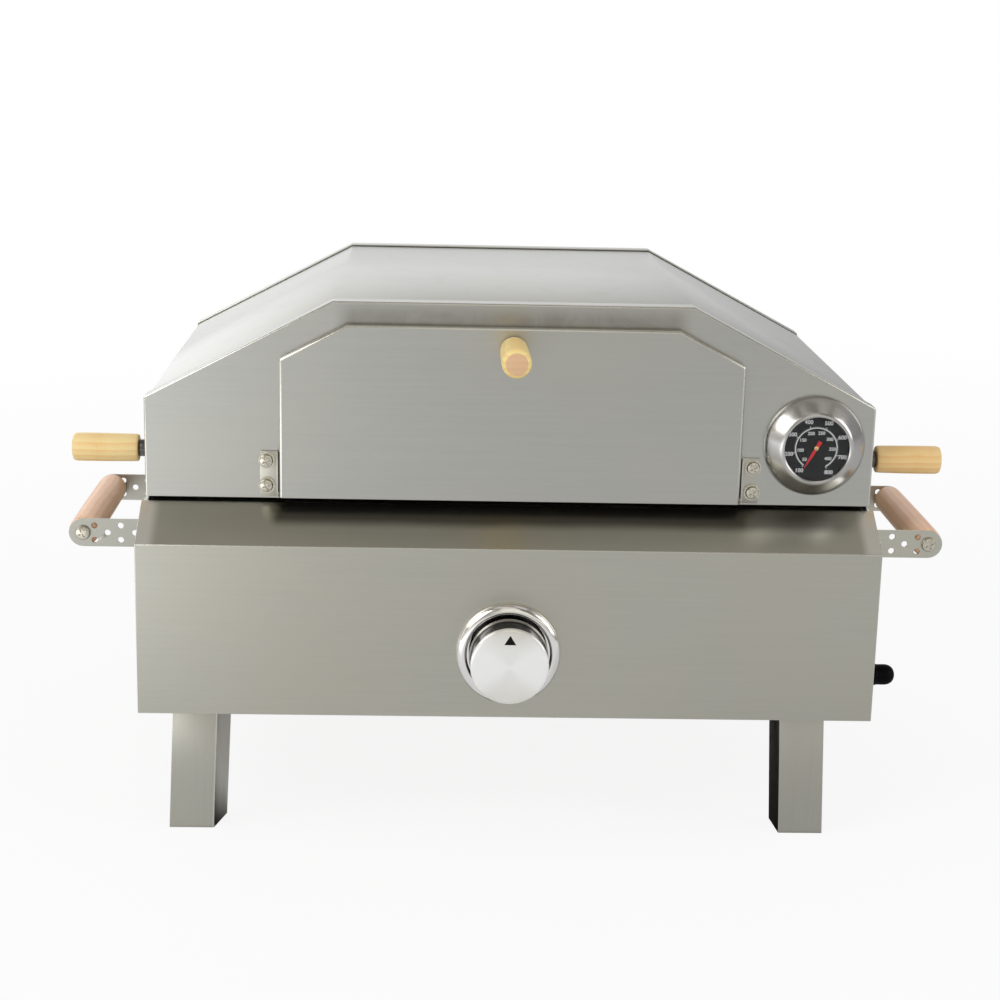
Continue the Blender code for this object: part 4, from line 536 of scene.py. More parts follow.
@made_once("baking_stone")
def baking_stone(finish):
    """Pressed cordierite: sandy, speckled, pitted and slightly toasted in the middle."""
    body = colours().stone
    sand = finish.noise(900.0, 4.0, 0.7)
    speck = finish.add("ShaderNodeTexVoronoi", {"feature": "F1"},
                       {"Vector": finish.place(), "Scale": 420.0, "Randomness": 1.0})
    toast = finish.noise(9.0, 4.0, 0.6, 0.7)
    shade = finish.blended(sand, darker(body, 0.82), darker(body, 1.12))
    shade = finish.blended((1.0 - speck.between(0.10, 0.26)) * 0.45, shade, (0.30, 0.22, 0.14))
    shade = finish.blended(toast.between(0.50, 0.72) * 0.42, shade, (0.33, 0.22, 0.12))
    height = sand * 0.7 + speck.between(0.05, 0.3) * 0.6
    finish.skin(shade, 0.82 + sand * 0.12, (height, 0.5, 0.00025), {"Specular IOR Level": 0.25})


@made_once("fired_ceramic")
def fired_ceramic(finish):
    """White ceramic of the igniter's insulator, glazed and slightly smoked."""
    smoke = finish.noise(180.0, 4.0, 0.6)
    shade = finish.blended(smoke.between(0.45, 0.8), (0.80, 0.79, 0.75), (0.45, 0.40, 0.34))
    finish.skin(shade, 0.22 + smoke * 0.2, (smoke, 0.1, 0.00006))


# Mesh helpers

def middle(low, high):
    return (low + high) / 2


def copy_of(node):
    """The CAD node as one merged skin, its flat faces joined up again."""
    shape = bmesh.new()
    shape.from_mesh(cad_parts[node].data)
    bmesh.ops.remove_doubles(shape, verts=shape.verts, dist=MERGE)
    bmesh.ops.dissolve_limit(shape, angle_limit=FLAT_ANGLE, verts=shape.verts, edges=shape.edges,
                             use_dissolve_boundaries=False)
    return shape


def width_of(face):
    """Mean width of a long face."""
    return 2.0 * face.calc_area() / max(face.calc_perimeter(), MERGE)


def outer_corners(shape, wanted):
    """Sharp outside edges whose two faces pass a test."""
    found = []
    for edge in shape.edges:
        if len(edge.link_faces) == 2 and edge.calc_face_angle_signed(0.0) > SHARP_ANGLE:
            if wanted(edge, *(width_of(face) for face in edge.link_faces)):
                found.append(edge)
    return found


def bevelled(shape, edges, radius, segments, slot=1):
    """Rounds edges. The new faces are shaded smooth and take a slot, 1 for worked edges."""
    if not edges:
        return
    made = bmesh.ops.bevel(shape, geom=edges, offset=radius, offset_type="OFFSET",
                           segments=segments, profile=0.5, affect="EDGES", material=-1,
                           clamp_overlap=True)
    for face in made["faces"]:
        face.smooth = True
        face.material_index = slot


def folded(shape, bend, edge):
    """Gives sheet its bends, then deburrs its cut edges."""
    folds = outer_corners(
        shape, lambda e, a, b: a > NARROW and b > NARROW and e.calc_length() > SHORT)
    bevelled(shape, folds, bend, 4)
    rims = outer_corners(shape, lambda e, a, b: a <= NARROW or b <= NARROW)
    bevelled(shape, rims, edge, 2)
    return shape


def set_shading(shape):
    """Smooth shading on curved faces, flat on flat ones, and hard edges at real corners."""
    for edge in shape.edges:
        if len(edge.link_faces) == 2:
            angle_between = edge.calc_face_angle(0.0)
            edge.smooth = angle_between < SHARP_ANGLE
            if FLAT_ANGLE < angle_between < SHARP_ANGLE:
                for face in edge.link_faces:
                    if len(face.verts) < 5 or width_of(face) < NARROW:
                        face.smooth = True


AXIS_TURNS = {
    "x": Matrix.Rotation(math.radians(90), 4, "Y"),
    "-x": Matrix.Rotation(math.radians(-90), 4, "Y"),
    "y": Matrix.Rotation(math.radians(-90), 4, "X"),
    "-y": Matrix.Rotation(math.radians(90), 4, "X"),
    "z": Matrix.Identity(4),
}


def moved(shape, at, axis):
    """Turns a shape's upright axis along another one and carries it to its place."""
    bmesh.ops.transform(shape, matrix=Matrix.Translation(at) @ AXIS_TURNS[axis],
                        verts=shape.verts)


def turned(profile, at, axis, steps, rounding=0.0, corners=()):
    """A round solid: a profile of (radius, distance along) spun about an axis through a place."""
    shape = bmesh.new()
    points = [shape.verts.new((radius, 0.0, along)) for radius, along in profile]
    pairs = list(zip(points, points[1:]))
    if profile[0][0] > 0 or profile[-1][0] > 0:
        pairs.append((points[-1], points[0]))
    for pair in pairs:
        shape.edges.new(pair)
    if corners:
        bmesh.ops.bevel(shape, geom=[points[i] for i in corners], offset=rounding,
                        offset_type="OFFSET", segments=4, profile=0.5, affect="VERTICES",
                        material=-1, clamp_overlap=True)
    bmesh.ops.spin(shape, geom=shape.verts[:] + shape.edges[:], cent=(0, 0, 0), axis=(0, 0, 1),
                   angle=math.tau, steps=steps, use_merge=True)
    bmesh.ops.remove_doubles(shape, verts=shape.verts, dist=MERGE)
    bmesh.ops.recalc_face_normals(shape, faces=shape.faces)
    for face in shape.faces:
        face.smooth = True
    moved(shape, at, axis)
    return shape


def disc(bore, radius, low, high):
    """Profile of a disc or a ring for turned()."""
    return [(bore, low), (radius, low), (radius, high), (bore, high)]


def span(node, axis):
    """Where a node of round section starts along an axis, how long it is, and its radius."""
    low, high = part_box(node)
    along = "xyz".index(axis[-1])
    at = (low + high) / 2
    at[along] = high[along] if axis.startswith("-") else low[along]
    return at, high[along] - low[along], (high.z - low.z) / 2


def block(low, high):
    """A closed block between two corners."""
    shape = bmesh.new()
    bmesh.ops.create_cube(shape, size=1.0)
    low, high = Vector(low), Vector(high)
    bmesh.ops.scale(shape, vec=high - low, verts=shape.verts)
    bmesh.ops.translate(shape, vec=(low + high) / 2, verts=shape.verts)
    return shape


def raised(outline, low, high):
    """An upright prism on an outline of (x, y)."""
    shape = bmesh.new()
    base = shape.faces.new([shape.verts.new((x, y, low)) for x, y in outline])
    lifted = bmesh.ops.extrude_face_region(shape, geom=[base])["geom"]
    bmesh.ops.translate(shape, vec=(0, 0, high - low),
                        verts=[item for item in lifted if isinstance(item, bmesh.types.BMVert)])
    bmesh.ops.recalc_face_normals(shape, faces=shape.faces)
    return shape


def faced(shape, axis, sign):
    """Turns the faces of an open sheet so that they all look along one way."""
    for face in shape.faces:
        if face.normal[axis] * sign < 0:
            face.normal_flip()
    return shape


def joined(shapes):
    """One bmesh out of several."""
    whole = bmesh.new()
    for shape in shapes:
        loose = bpy.data.meshes.new("loose")
        shape.to_mesh(loose)
        shape.free()
        whole.from_mesh(loose)
        bpy.data.meshes.remove(loose)
    return whole


def linked(name, data):
    item = bpy.data.objects.new(name, data)
    bpy.context.scene.collection.objects.link(item)
    return item


def new_object(name, shape):
    mesh = bpy.data.meshes.new(name)
    shape.to_mesh(mesh)
    shape.free()
    return linked(name, mesh)


def as_evaluated(item):
    """A bmesh of an object as its modifiers or its curves make it."""
    done = item.evaluated_get(bpy.context.evaluated_depsgraph_get())
    shape = bmesh.new()
    shape.from_mesh(done.to_mesh())
    done.to_mesh_clear()
    return shape


def carved(shape, tool):
    """A shape with a tool cut out of it."""
    target, cutter = new_object("carved", shape), new_object("tool", tool)
    change = target.modifiers.new("Cut", "BOOLEAN")
    change.operation, change.solver, change.object = "DIFFERENCE", "EXACT", cutter
    bpy.context.view_layer.update()
    result = as_evaluated(target)
    for item in (target, cutter):
        mesh = item.data
        bpy.data.objects.remove(item)
        bpy.data.meshes.remove(mesh)
    if not result.faces:
        raise RuntimeError("a cut left nothing")
    return result


# Pieces

def add_piece(name, shape, body, finishes, replaced=()):
    """Makes the object, gives it its finishes and hangs it on its body."""
    if not shape.faces:
        raise RuntimeError("the piece {} has no faces".format(name))
    set_shading(shape)
    for face in shape.faces:
        face.material_index = min(face.material_index, len(finishes) - 1)
    item = new_object(name, shape)
    for finish in finishes:
        item.data.materials.append(finish)
    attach(item, body)
    if replaced:
        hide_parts(*replaced)


def sheet_piece(node, body, steel, widening=1.0):
    """A folded sheet part: the CAD's own shape with bends and deburred edges."""
    shape = folded(copy_of(node), sizes().bend_radius * widening, sizes().edge_radius)
    add_piece("finished_" + node, shape, body, [steel, worked_edge()], [node])


def block_piece(node, body, finish, radius=None):
    """A machined, cast or bent part: the CAD's own shape with its outside corners eased."""
    radius = radius or sizes().edge_radius
    shape = copy_of(node)
    corners = outer_corners(shape, lambda e, a, b: e.calc_length() > radius)
    bevelled(shape, corners, radius, 2, 0)
    add_piece("finished_" + node, shape, body, [finish], [node])


def turned_piece(name, node, body, finish, profile, at, axis, rounding=0.0, corners=()):
    """A large turned part that stands for a node."""
    shape = turned(profile, at, axis, sizes().turned_steps, rounding, corners)
    add_piece(name, shape, body, [finish], [node])


CROSS_TURN = math.radians(27.0)
WASHER_SHARE = 0.28
HEAD_SHARES = ((1.0, 0.45), (0.86, 0.82), (0.55, 0.97), (0.0, 1.0))   # of the radius, the height
HEAD_ROUNDING_SHARE = 0.1
CROSS_REACH_SHARE = 0.56
CROSS_HALF_SHARE = 0.13
CROSS_FLOOR_SHARE = 0.42
CROSS_TOP_SHARE = 1.4


def screw_head(at, axis, radius, height, washer=0.0):
    """Pan head with a cross recess, on a washer if it has one."""
    base = height * WASHER_SHARE if washer else 0.0
    profile = [(0, 0), (washer, 0), (washer, base), (radius, base)] if washer else [
        (0, 0), (radius, 0)]
    profile += [(radius * wide, base + height * up) for wide, up in HEAD_SHARES]
    head = turned(profile, (0, 0, 0), "z", sizes().small_steps, radius * HEAD_ROUNDING_SHARE,
                  (len(profile) - 4,))
    reach, half = radius * CROSS_REACH_SHARE, radius * CROSS_HALF_SHARE
    slots = block((-half, -half, base + height * CROSS_FLOOR_SHARE),
                  (half, half, base + height * CROSS_TOP_SHARE))
    sides = [face for face in slots.faces if abs(face.normal.z) < 0.5]
    for face in bmesh.ops.extrude_discrete_faces(slots, faces=sides)["faces"]:
        bmesh.ops.translate(slots, vec=face.normal * (reach - half), verts=face.verts)
    bmesh.ops.rotate(slots, cent=(0, 0, 0), matrix=Matrix.Rotation(CROSS_TURN, 3, "Z"),
                     verts=slots.verts)
    head = carved(head, slots)
    moved(head, at, axis)
    return head


# Stage

FLOOR_RADIUS = 14.0
LAMP_AIM = Vector((0, 0, 0.22))
SENSOR = 36.0                    # millimetres, as the camera's lens
CLIP = (0.05, 60.0)
# The floor's painted glow as the steel mirrors it. The ranges are distances from the middle of the
# oven: across to the right, and along to the back or, where a line says so, to the front
CARD_FRONT = (0.30, 0.95)        # to the front
SLANT_FROM = 0.4515              # point behind the front from which the card's edges fan out
CARD_INNER, CARD_OUTER = (0.12, 0.55), (0.70, 1.15)
BEHIND = (0.05, 0.45)
BACK_CARD = (-0.30, 0.30)
FAR_CARD = (0.95, 1.40)          # to the front
FAR_CARD_LEFT = (0.05, 0.45)     # to the left
# painted shadow of the oven on the floor under it, weaker on the left
UNDER_FRONT, UNDER_REAR = (-0.1785, -0.1705), (0.2015, 0.2615)
UNDER_ENDS = (0.050, 0.075)      # squared distances
SHADOW_LEFT = (-0.05, 0.10)      # to the left
SHADOW_REAR = (-0.1735, -0.0985)
# painted shade on the floor to the right, near the oven
NEAR_RIGHT, NEAR_FRONT = (0.05, 0.22), (0.35, 0.60)
WHITE_OUT = (0.7, 2.6)           # distances over which the seen floor goes to white
# The room that the steel mirrors, as ranges of the parts of a direction of length 1
ROOM_FRONT, ROOM_LEFT, ROOM_RIGHT = (-0.25, 0.70), (0.05, 0.40), (0.05, 0.45)
ROOM_SIDES, ROOM_CEILING, ROOM_WINDOWS = (0.55, 0.92), (0.30, 0.86), (0.05, 0.25)
DAYLIGHT, WARM_WALL = (0.97, 0.98, 1.0), (1.0, 0.955, 0.88)


class OVEN_OT_stage(bpy.types.Operator):
    """Adds the floor, the soft studio light and the camera"""
    bl_idname = "oven.stage"
    bl_label = "Stage"

    def execute(self, context):
        values = context.scene.oven_stage
        context.scene.view_settings.view_transform = "Standard"
        self.add_floor(values)
        self.light_world(context.scene, values)
        self.add_lamp("key_lamp", (-1.55, -1.25, 1.45), (1.5, 1.2), values.key_power)
        self.add_lamp("back_lamp", (-1.05, 2.25, 0.85), (1.5, 1.0), values.back_power, False)
        self.add_lamp("fill_lamp", (1.7, -1.0, 0.9), (0.9, 1.1), values.fill_power)
        camera = bpy.data.cameras.new("camera")
        camera.lens, camera.sensor_width = values.camera_lens, SENSOR
        camera.clip_start, camera.clip_end = CLIP
        item = linked("camera", camera)
        item.matrix_world = (Matrix.Translation(values.camera_place)
                             @ Matrix.Rotation(values.camera_heading, 4, "Z")
                             @ Matrix.Rotation(values.camera_tilt, 4, "X")
                             @ Matrix.Rotation(values.camera_roll, 4, "Z"))
        context.scene.camera = item
        return {"FINISHED"}

    def add_floor(self, values):
        """A plain matt floor that glows white to the camera. To the mirroring steel it glows with
        painted light: a bright card on its left, a dim far side and a painted shadow under the
        oven.
        """
        shape = bmesh.new()
        bmesh.ops.create_circle(shape, cap_ends=True, radius=FLOOR_RADIUS, segments=96)
        floor = new_object("floor", shape)
        finish = Finish(bpy.data.materials.new("pale_floor"))
        point = finish.add("ShaderNodeTexCoord", out="Object")
        across, along, _ = finish.axes(point)
        far = finish.add("ShaderNodeVectorMath", {"operation": "LENGTH"}, {0: point}, out="Value")
        seen, mirrored = finish.rays("Camera", "Glossy")
        matt = finish.add("ShaderNodeBsdfDiffuse", {}, {"Color": (*[values.floor_shade] * 3, 1)})
        slant = -across / (SLANT_FROM - along)
        left = slant.between(*CARD_INNER) * (1.0 - slant.between(*CARD_OUTER) * 0.65)
        behind = along.between(*BEHIND)
        card = (-along).between(*CARD_FRONT) * left * values.card_level
        card = card + behind * across.between(*BACK_CARD) * 0.30
        card = card + (-along).between(*FAR_CARD) * (-across).between(*FAR_CARD_LEFT) * 0.30
        # painted shadow under the oven, weaker on the left
        under = along.between(*UNDER_FRONT) * (1.0 - along.between(*UNDER_REAR))
        under = under * (1.0 - (across * across).between(*UNDER_ENDS))
        lit = (-across).between(*SHADOW_LEFT) * along.between(*SHADOW_REAR)
        shadow = under * (1.0 - lit * 0.85)
        # painted shade on the floor to the right of the oven
        near_right = across.between(*NEAR_RIGHT) * (1.0 - (-along).between(*NEAR_FRONT))
        level = (card + 0.66 - behind * 0.48) * (1.0 - shadow) * (1.0 - near_right * 0.22)
        lift = values.floor_lift + far.between(*WHITE_OUT) * (1.0 - values.floor_lift)
        look = finish.add("ShaderNodeMixShader", {}, {0: mirrored * (0.7 + shadow * 0.3),
                                                      1: matt, 2: finish.glow(level)})
        look = finish.add("ShaderNodeMixShader", {}, {0: seen * lift, 1: look,
                                                      2: finish.glow(1.0)})
        finish.surface(look)
        floor.data.materials.append(finish.owner)

    def light_world(self, scene, values):
        """White to the camera, an even sky to matt surfaces and a studio to the mirroring steel."""
        scene.world = bpy.data.worlds.new("studio")
        finish = Finish(scene.world)
        way = finish.add("ShaderNodeTexCoord", out="Generated")
        across, along, up = finish.axes(way)
        front = (-along).between(*ROOM_FRONT)
        left = (-across).between(*ROOM_LEFT)
        right = across.between(*ROOM_RIGHT)
        side = (across * across).between(*ROOM_SIDES)
        overhead = up.between(*ROOM_CEILING)
        level = values.back_level - front * (values.back_level - values.front_level)
        level = level + left * front * 0.25 + (1.0 - front) * (left * 0.60 - right * 0.55)
        level = level * (1.0 - side * 0.45)
        room = level + overhead * (values.ceiling_level - level)
        panes = finish.noise(2.6, 1.0, 0.4, point=way).between(0.44, 0.56)
        room = room * (1.0 + front * up.between(*ROOM_WINDOWS) * (panes - 0.5) * 1.1)
        camera, mirror, through = finish.rays("Camera", "Glossy", "Transmission")
        plain = camera.made("MAXIMUM", camera, through)
        level = mirror * room + (1.0 - mirror) * values.sky_level
        level = plain + (1.0 - plain) * level
        tone = finish.blended((1.0 - front) * (1.0 - overhead), WARM_WALL, DAYLIGHT)
        tone = finish.blended((1.0 - plain) * mirror, (1, 1, 1), tone)
        light = finish.add("ShaderNodeBackground", {}, {"Color": tone, "Strength": level})
        finish.add("ShaderNodeOutputWorld", {}, {"Surface": light})

    def add_lamp(self, name, at, size, power, mirrored=True):
        lamp = bpy.data.lights.new(name, "AREA")
        lamp.shape = "RECTANGLE"
        lamp.size, lamp.size_y = size
        lamp.energy = power
        item = linked(name, lamp)
        aim = (LAMP_AIM - Vector(at)).to_track_quat("-Z", "Y")
        item.matrix_world = Matrix.Translation(at) @ aim.to_matrix().to_4x4()
        item.visible_camera = False
        item.visible_glossy = mirrored


# Body

class OVEN_OT_body_shell(bpy.types.Operator):
    """Folds and finishes the front, the sides, the vented back and the top frame"""
    bl_idname = "oven.body_shell"
    bl_label = "Body shell"

    def execute(self, context):
        # the sill gets painted shade under the door and painted highlights at its ends
        sheet_piece("front_panel", "body", brushed_steel("x", "sill"), widening=1.8)
        for node, along in (("side_panel_left", "y"), ("side_panel_right", "y"),
                            ("back_panel", "x"), ("top_frame", "x")):
            sheet_piece(node, "body", brushed_steel(along))
        return {"FINISHED"}


class OVEN_OT_fire_floor(bpy.types.Operator):
    """Finishes the floor pan and the heat shield"""
    bl_idname = "oven.fire_floor"
    bl_label = "Fire floor"

    def execute(self, context):
        for node in ("floor_pan", "heat_shield"):
            sheet_piece(node, "body", heat_stained_steel())
        return {"FINISHED"}


class OVEN_OT_lid(bpy.types.Operator):
    """Folds and finishes the lid's wrap, its two end panels and the drop-down door"""
    bl_idname = "oven.lid"
    bl_label = "Lid and door"

    def execute(self, context):
        # the lid's front panel gets painted shade over the door
        for node, body, stain_and_shade, widening in (
                ("lid_wrap", "lid", "", 1.0), ("lid_front_panel", "lid", "brow", 1.0),
                ("lid_back_panel", "lid", "", 1.0), ("door_panel", "door", "", 1.7)):
            sheet_piece(node, body, brushed_steel("x", stain_and_shade, LID_CAST), widening=widening)
        return {"FINISHED"}


BRACKET_WIDTH = 0.0135
BRACKET_DEPTH = 0.0064
BRACKET_BEND = 0.0006
BRACKET_SCREW_INSET = 0.0047
BRACKET_SCREW_RISES = (0.0085, 0.0270)
BRACKET_SCREW = (0.0050, 0.0034, 0.0060)    # radius and height of the head, radius of its washer
BRACKET_NUT = (0.0045, 0.0028)              # radius and height
BRACKET_NUT_SPACE = 0.0006
BRACKET_PIN_SETBACK, BRACKET_PIN_RISE = 0.0031, 0.0030
BRACKET_PIN = ((0, 0), (0.0017, 0), (0.0017, 0.0042), (0.0013, 0.0046), (0, 0.0046))
LEAF_SCREW_OUT = 0.0145
LEAF_SCREW = (0.0032, 0.0016)               # radius and height of the head
LEAVES = (("body", 0.30), ("lid", 0.70))    # share of the leaf's height that its screws are at


class OVEN_OT_door_brackets(bpy.types.Operator):
    """Folds the door's brackets and gives them pins and cross-head screws on washers"""
    bl_idname = "oven.door_brackets"
    bl_label = "Door brackets"

    def execute(self, context):
        for side, sign in SIDES:
            node = "door_bracket_" + side
            low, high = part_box(node)
            outer = low.x if sign < 0 else high.x
            inner = outer - sign * BRACKET_WIDTH
            wall = inner + sign * SHEET
            front, back = low.y, low.y + BRACKET_DEPTH
            strap = back - SHEET
            outline = ((inner, front), (wall, front), (wall, strap), (outer, strap),
                       (outer, back), (inner, back))
            shape = folded(raised(outline, low.z, high.z), BRACKET_BEND, sizes().edge_radius)
            add_piece("angle_" + node, shape, "lid", [brushed_steel("z"), worked_edge()],
                      [node])
            x = outer - sign * BRACKET_SCREW_INSET
            nut_radius, nut_height = BRACKET_NUT
            screws = []
            for rise in BRACKET_SCREW_RISES:
                z = low.z + rise
                screws.append(screw_head((x, strap, z), "-y", *BRACKET_SCREW))
                screws.append(turned(disc(0, nut_radius, 0, nut_height),
                                     (x, back + SHEET + BRACKET_NUT_SPACE, z), "y", 6))
            pin_at = (inner + sign * SHEET / 2, front + BRACKET_PIN_SETBACK,
                      low.z + BRACKET_PIN_RISE)
            screws.append(turned(BRACKET_PIN, pin_at, "x" if sign < 0 else "-x",
                                 sizes().small_steps))
            add_piece("door_screws_" + side, joined(screws), "lid", [plated_screw()])
        return {"FINISHED"}


class OVEN_OT_hinges(bpy.types.Operator):
    """Finishes the lid hinges and screws their leaves down"""
    bl_idname = "oven.hinges"
    bl_label = "Lid hinges"

    def execute(self, context):
        for side, _ in SIDES:
            for body, share in LEAVES:
                node = "hinge_leaf_{}_{}".format(body, side)
                block_piece(node, body, plain_steel())
                low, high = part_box(node)
                z = low.z + (high.z - low.z) * share
                heads = [screw_head((middle(low.x, high.x) + x, low.y + STRAP, z), "y", *LEAF_SCREW)
                         for x in (-LEAF_SCREW_OUT, LEAF_SCREW_OUT)]
                add_piece("hinge_screws_{}_{}".format(body, side), joined(heads), body,
                          [plated_screw()])
        return {"FINISHED"}


# Thermometer

PROBE_RADIUS, THREAD_RADIUS, THREAD_LENGTH = 0.003, 0.005, 0.010
CASE_SHARES = (     # of the case's radius and of its depth, from the lid outwards
    (1.0, 0.14), (0.975, 0.30), (0.925, 0.46), (0.86, 0.62), (0.79, 0.78), (0.735, 0.91),
    (0.695, 0.985), (0.665, 1.0), (0.638, 0.97))
CASE_LIP_SHARE = 0.90
DIAL_SPACE = 0.0002
DIAL_THICKNESS, DIAL_HOLE, DIAL_ROOM = 0.0008, 0.0012, 0.0011
GLASS_THICKNESS, GLASS_ROUNDING = 0.0011, 0.0003
FIRST_MARK, LAST_MARK = math.radians(215.0), math.radians(510.5)   # clockwise from the top
NEEDLE_ANGLE = math.radians(151.0)
LINE_RADII = (0.01475, 0.01545)
LINE_STEPS = 90
TICKS, TICKS_PER_NUMBER = 70, 10
TICK_RADIUS = 0.0153
LONG_TICK, SHORT_TICK = (0.00050, 0.0017), (0.00022, 0.0009)       # width, length
OUTER_RADIUS, INNER_RADIUS = 0.0203, 0.0117
OUTER_FIRST, OUTER_STEP, INNER_STEP, NUMBERS = 100, 100, 50, 8
FONT_SIZE_SHARE, FONT_WEIGHT_SHARE = 1.42, 0.030                   # of a number's height
NEEDLE_FRONT, NEEDLE_BACK = 0.0003, 0.0008                         # in front of the dial
NEEDLE_OUTLINE = ((-0.00150, -0.0058), (0.00150, -0.0058), (0.00105, 0.0), (0.00100, 0.0070),
                  (0.00025, 0.0166), (-0.00025, 0.0166), (-0.00100, 0.0070), (-0.00105, 0.0))
HUB = ((0, -0.0006), (0.0008, -0.0006), (0.0008, 0.0003), (0.0016, 0.0003), (0.0016, 0.0010),
       (0.0012, 0.0013), (0, 0.00135))


class OVEN_OT_thermometer(bpy.types.Operator):
    """Turns the polished case and prints the dial under its glass"""
    bl_idname = "oven.thermometer"
    bl_label = "Thermometer"

    def execute(self, context):
        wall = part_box("lid_front_panel")[0].y
        case_low, case_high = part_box("thermometer_case")
        dial_low, dial_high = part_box("thermometer_dial")
        x, z = middle(dial_low.x, dial_high.x), middle(dial_low.z, dial_high.z)
        at, face = (x, wall, z), wall - dial_low.y
        depth, behind = wall - case_low.y, case_high.y - wall
        radius = (case_high.x - case_low.x) / 2
        dial_radius = (dial_high.x - dial_low.x) / 2
        bore = dial_radius + DIAL_SPACE
        case = [(0, -behind), (PROBE_RADIUS, -behind), (PROBE_RADIUS, -THREAD_LENGTH),
                (THREAD_RADIUS, -THREAD_LENGTH), (THREAD_RADIUS, GAP), (radius, GAP),
                *((radius * wide, depth * out) for wide, out in CASE_SHARES),
                (bore, depth * CASE_LIP_SHARE), (bore, face - DIAL_ROOM), (0, face - DIAL_ROOM)]
        turned_piece("dial_case", "thermometer_case", "lid",
                     polished_steel("dial_case_steel", 0.12, 0.60), case, at,
                     "-y")
        turned_piece("dial_face", "thermometer_dial", "lid", dial_black(),
                     disc(DIAL_HOLE, dial_radius, face - DIAL_THICKNESS, face), at, "-y")
        self.print_dial((x, dial_low.y - TINY, z))
        glass_at = (x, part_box("thermometer_glass")[1].y, z)
        turned_piece("dial_glass", "thermometer_glass", "lid", clear_glass(),
                     disc(0, bore - GAP, 0, GLASS_THICKNESS), glass_at, "-y", GLASS_ROUNDING,
                     (1, 2))
        block_piece("thermometer_nut", "lid", plain_steel())
        self.add_needle((x, dial_low.y, z))
        return {"FINISHED"}

    def print_dial(self, at):
        """The scale's line, its marks and its two rings of numbers, as one thin print."""
        sweep = LAST_MARK - FIRST_MARK
        line = bmesh.new()
        ends = [line.verts.new((radius, 0, 0)) for radius in LINE_RADII]
        bmesh.ops.spin(line, geom=[*ends, line.edges.new(ends)], cent=(0, 0, 0), axis=(0, 0, 1),
                       angle=-sweep, steps=LINE_STEPS)
        turn_by(line, FIRST_MARK - math.pi / 2)
        marks = [line]
        for i in range(TICKS + 1):
            width, long = SHORT_TICK if i % TICKS_PER_NUMBER else LONG_TICK
            tick = bmesh.new()
            bmesh.ops.create_grid(tick, x_segments=1, y_segments=1, size=0.5)
            bmesh.ops.scale(tick, vec=(width, long, 1), verts=tick.verts)
            bmesh.ops.translate(tick, vec=(0, TICK_RADIUS + long / 2, 0), verts=tick.verts)
            marks.append(turn_by(tick, FIRST_MARK + sweep * i / TICKS))
        for i in range(NUMBERS):
            value = OUTER_FIRST + OUTER_STEP * i
            marks.append(number(value, sizes().digit_height,
                                FIRST_MARK + sweep * i / (NUMBERS - 1), OUTER_RADIUS))
        for i in range(NUMBERS):
            value = INNER_STEP * (i + 1)
            share = (fahrenheit(value) - OUTER_FIRST) / (OUTER_STEP * (NUMBERS - 1))
            marks.append(number(value, sizes().inner_digit_height, FIRST_MARK + sweep * share,
                                INNER_RADIUS))
        print_shape = faced(joined(marks), 2, 1)
        moved(print_shape, at, "-y")
        add_piece("dial_print", print_shape, "lid", [dial_white()])

    def add_needle(self, at):
        blade = raised(NEEDLE_OUTLINE, 0, NEEDLE_BACK - NEEDLE_FRONT)
        turn_by(blade, -NEEDLE_ANGLE)
        moved(blade, (at[0], at[1] - NEEDLE_FRONT, at[2]), "-y")
        add_piece("needle_blade", blade, "dial_needle", [needle_red()],
                  ["thermometer_needle"])
        hub = turned(HUB, at, "-y", sizes().small_steps)
        add_piece("needle_hub", hub, "dial_needle", [brass()])


def fahrenheit(celsius):
    """Where one of the dial's inner numbers stands on its outer scale."""
    return celsius * 1.8 + 32


def turn_by(shape, clockwise):
    """Turns a flat shape about the dial's middle."""
    bmesh.ops.rotate(shape, cent=(0, 0, 0), matrix=Matrix.Rotation(-clockwise, 3, "Z"),
                     verts=shape.verts)
    return shape


def number(value, height, clockwise, radius):
    """A printed number, upright, its middle at an angle clockwise from the dial's top."""
    curve = bpy.data.curves.new("number", "FONT")
    curve.body, curve.size = str(value), height * FONT_SIZE_SHARE
    curve.align_x, curve.align_y = "CENTER", "CENTER"
    curve.resolution_u = 3
    curve.offset = height * FONT_WEIGHT_SHARE
    item = linked("number", curve)
    shape = as_evaluated(item)
    bpy.data.objects.remove(item)
    bpy.data.curves.remove(curve)
    place = (radius * math.sin(clockwise), radius * math.cos(clockwise), 0)
    bmesh.ops.translate(shape, vec=place, verts=shape.verts)
    return shape


# Control knob

KNOB_EXTRA, BEZEL_EXTRA = 0.0009, 0.0012    # over the CAD's radii
KNOB_WALL = 0.0015
KNOB_CROWN = 0.0012                         # how far the face's edge falls back
KNOB_FACE_SHARES = (0.90, 0.75, 0.60, 0.45, 0.30, 0.15, 0.0)
KNOB_EDGE = ((1.0, 0.0026), (0.996, 0.0019), (0.985, 0.0015), (0.96, KNOB_CROWN))
KNOB_ROUNDING, SKIRT_ROUNDING = 0.0004, 0.0005
POINTER_SHARES = (0.595, 0.84)              # its base and its tip, of the knob's radius
SKIRT_BORE, SKIRT_HUB, SKIRT_ROOM, SKIRT_DEPTH = 0.0033, 0.018, 0.0018, 0.013
SKIRT_RIM = ((1.0, 0.0015), (1.0, 0.0030), (0.965, 0.0046))   # of its radius, before its rear
SKIRT_NECK = (0.955, 0.0066)                # of the knob's radius, before the skirt's rear
SKIRT_TRIM_SHARE = 0.975
BEZEL_BORE, BEZEL_INNER, BEZEL_FLOOR = 0.012, 0.0304, 0.0012
BEZEL_SHARES = (     # of the ring's width, from outside, and of its depth
    (0.0, 0.22), (0.02, 0.40), (0.07, 0.56), (0.16, 0.70), (0.30, 0.83), (0.48, 0.93),
    (0.66, 0.985), (0.80, 1.0), (0.90, 0.96), (0.97, 0.84), (1.0, 0.62))


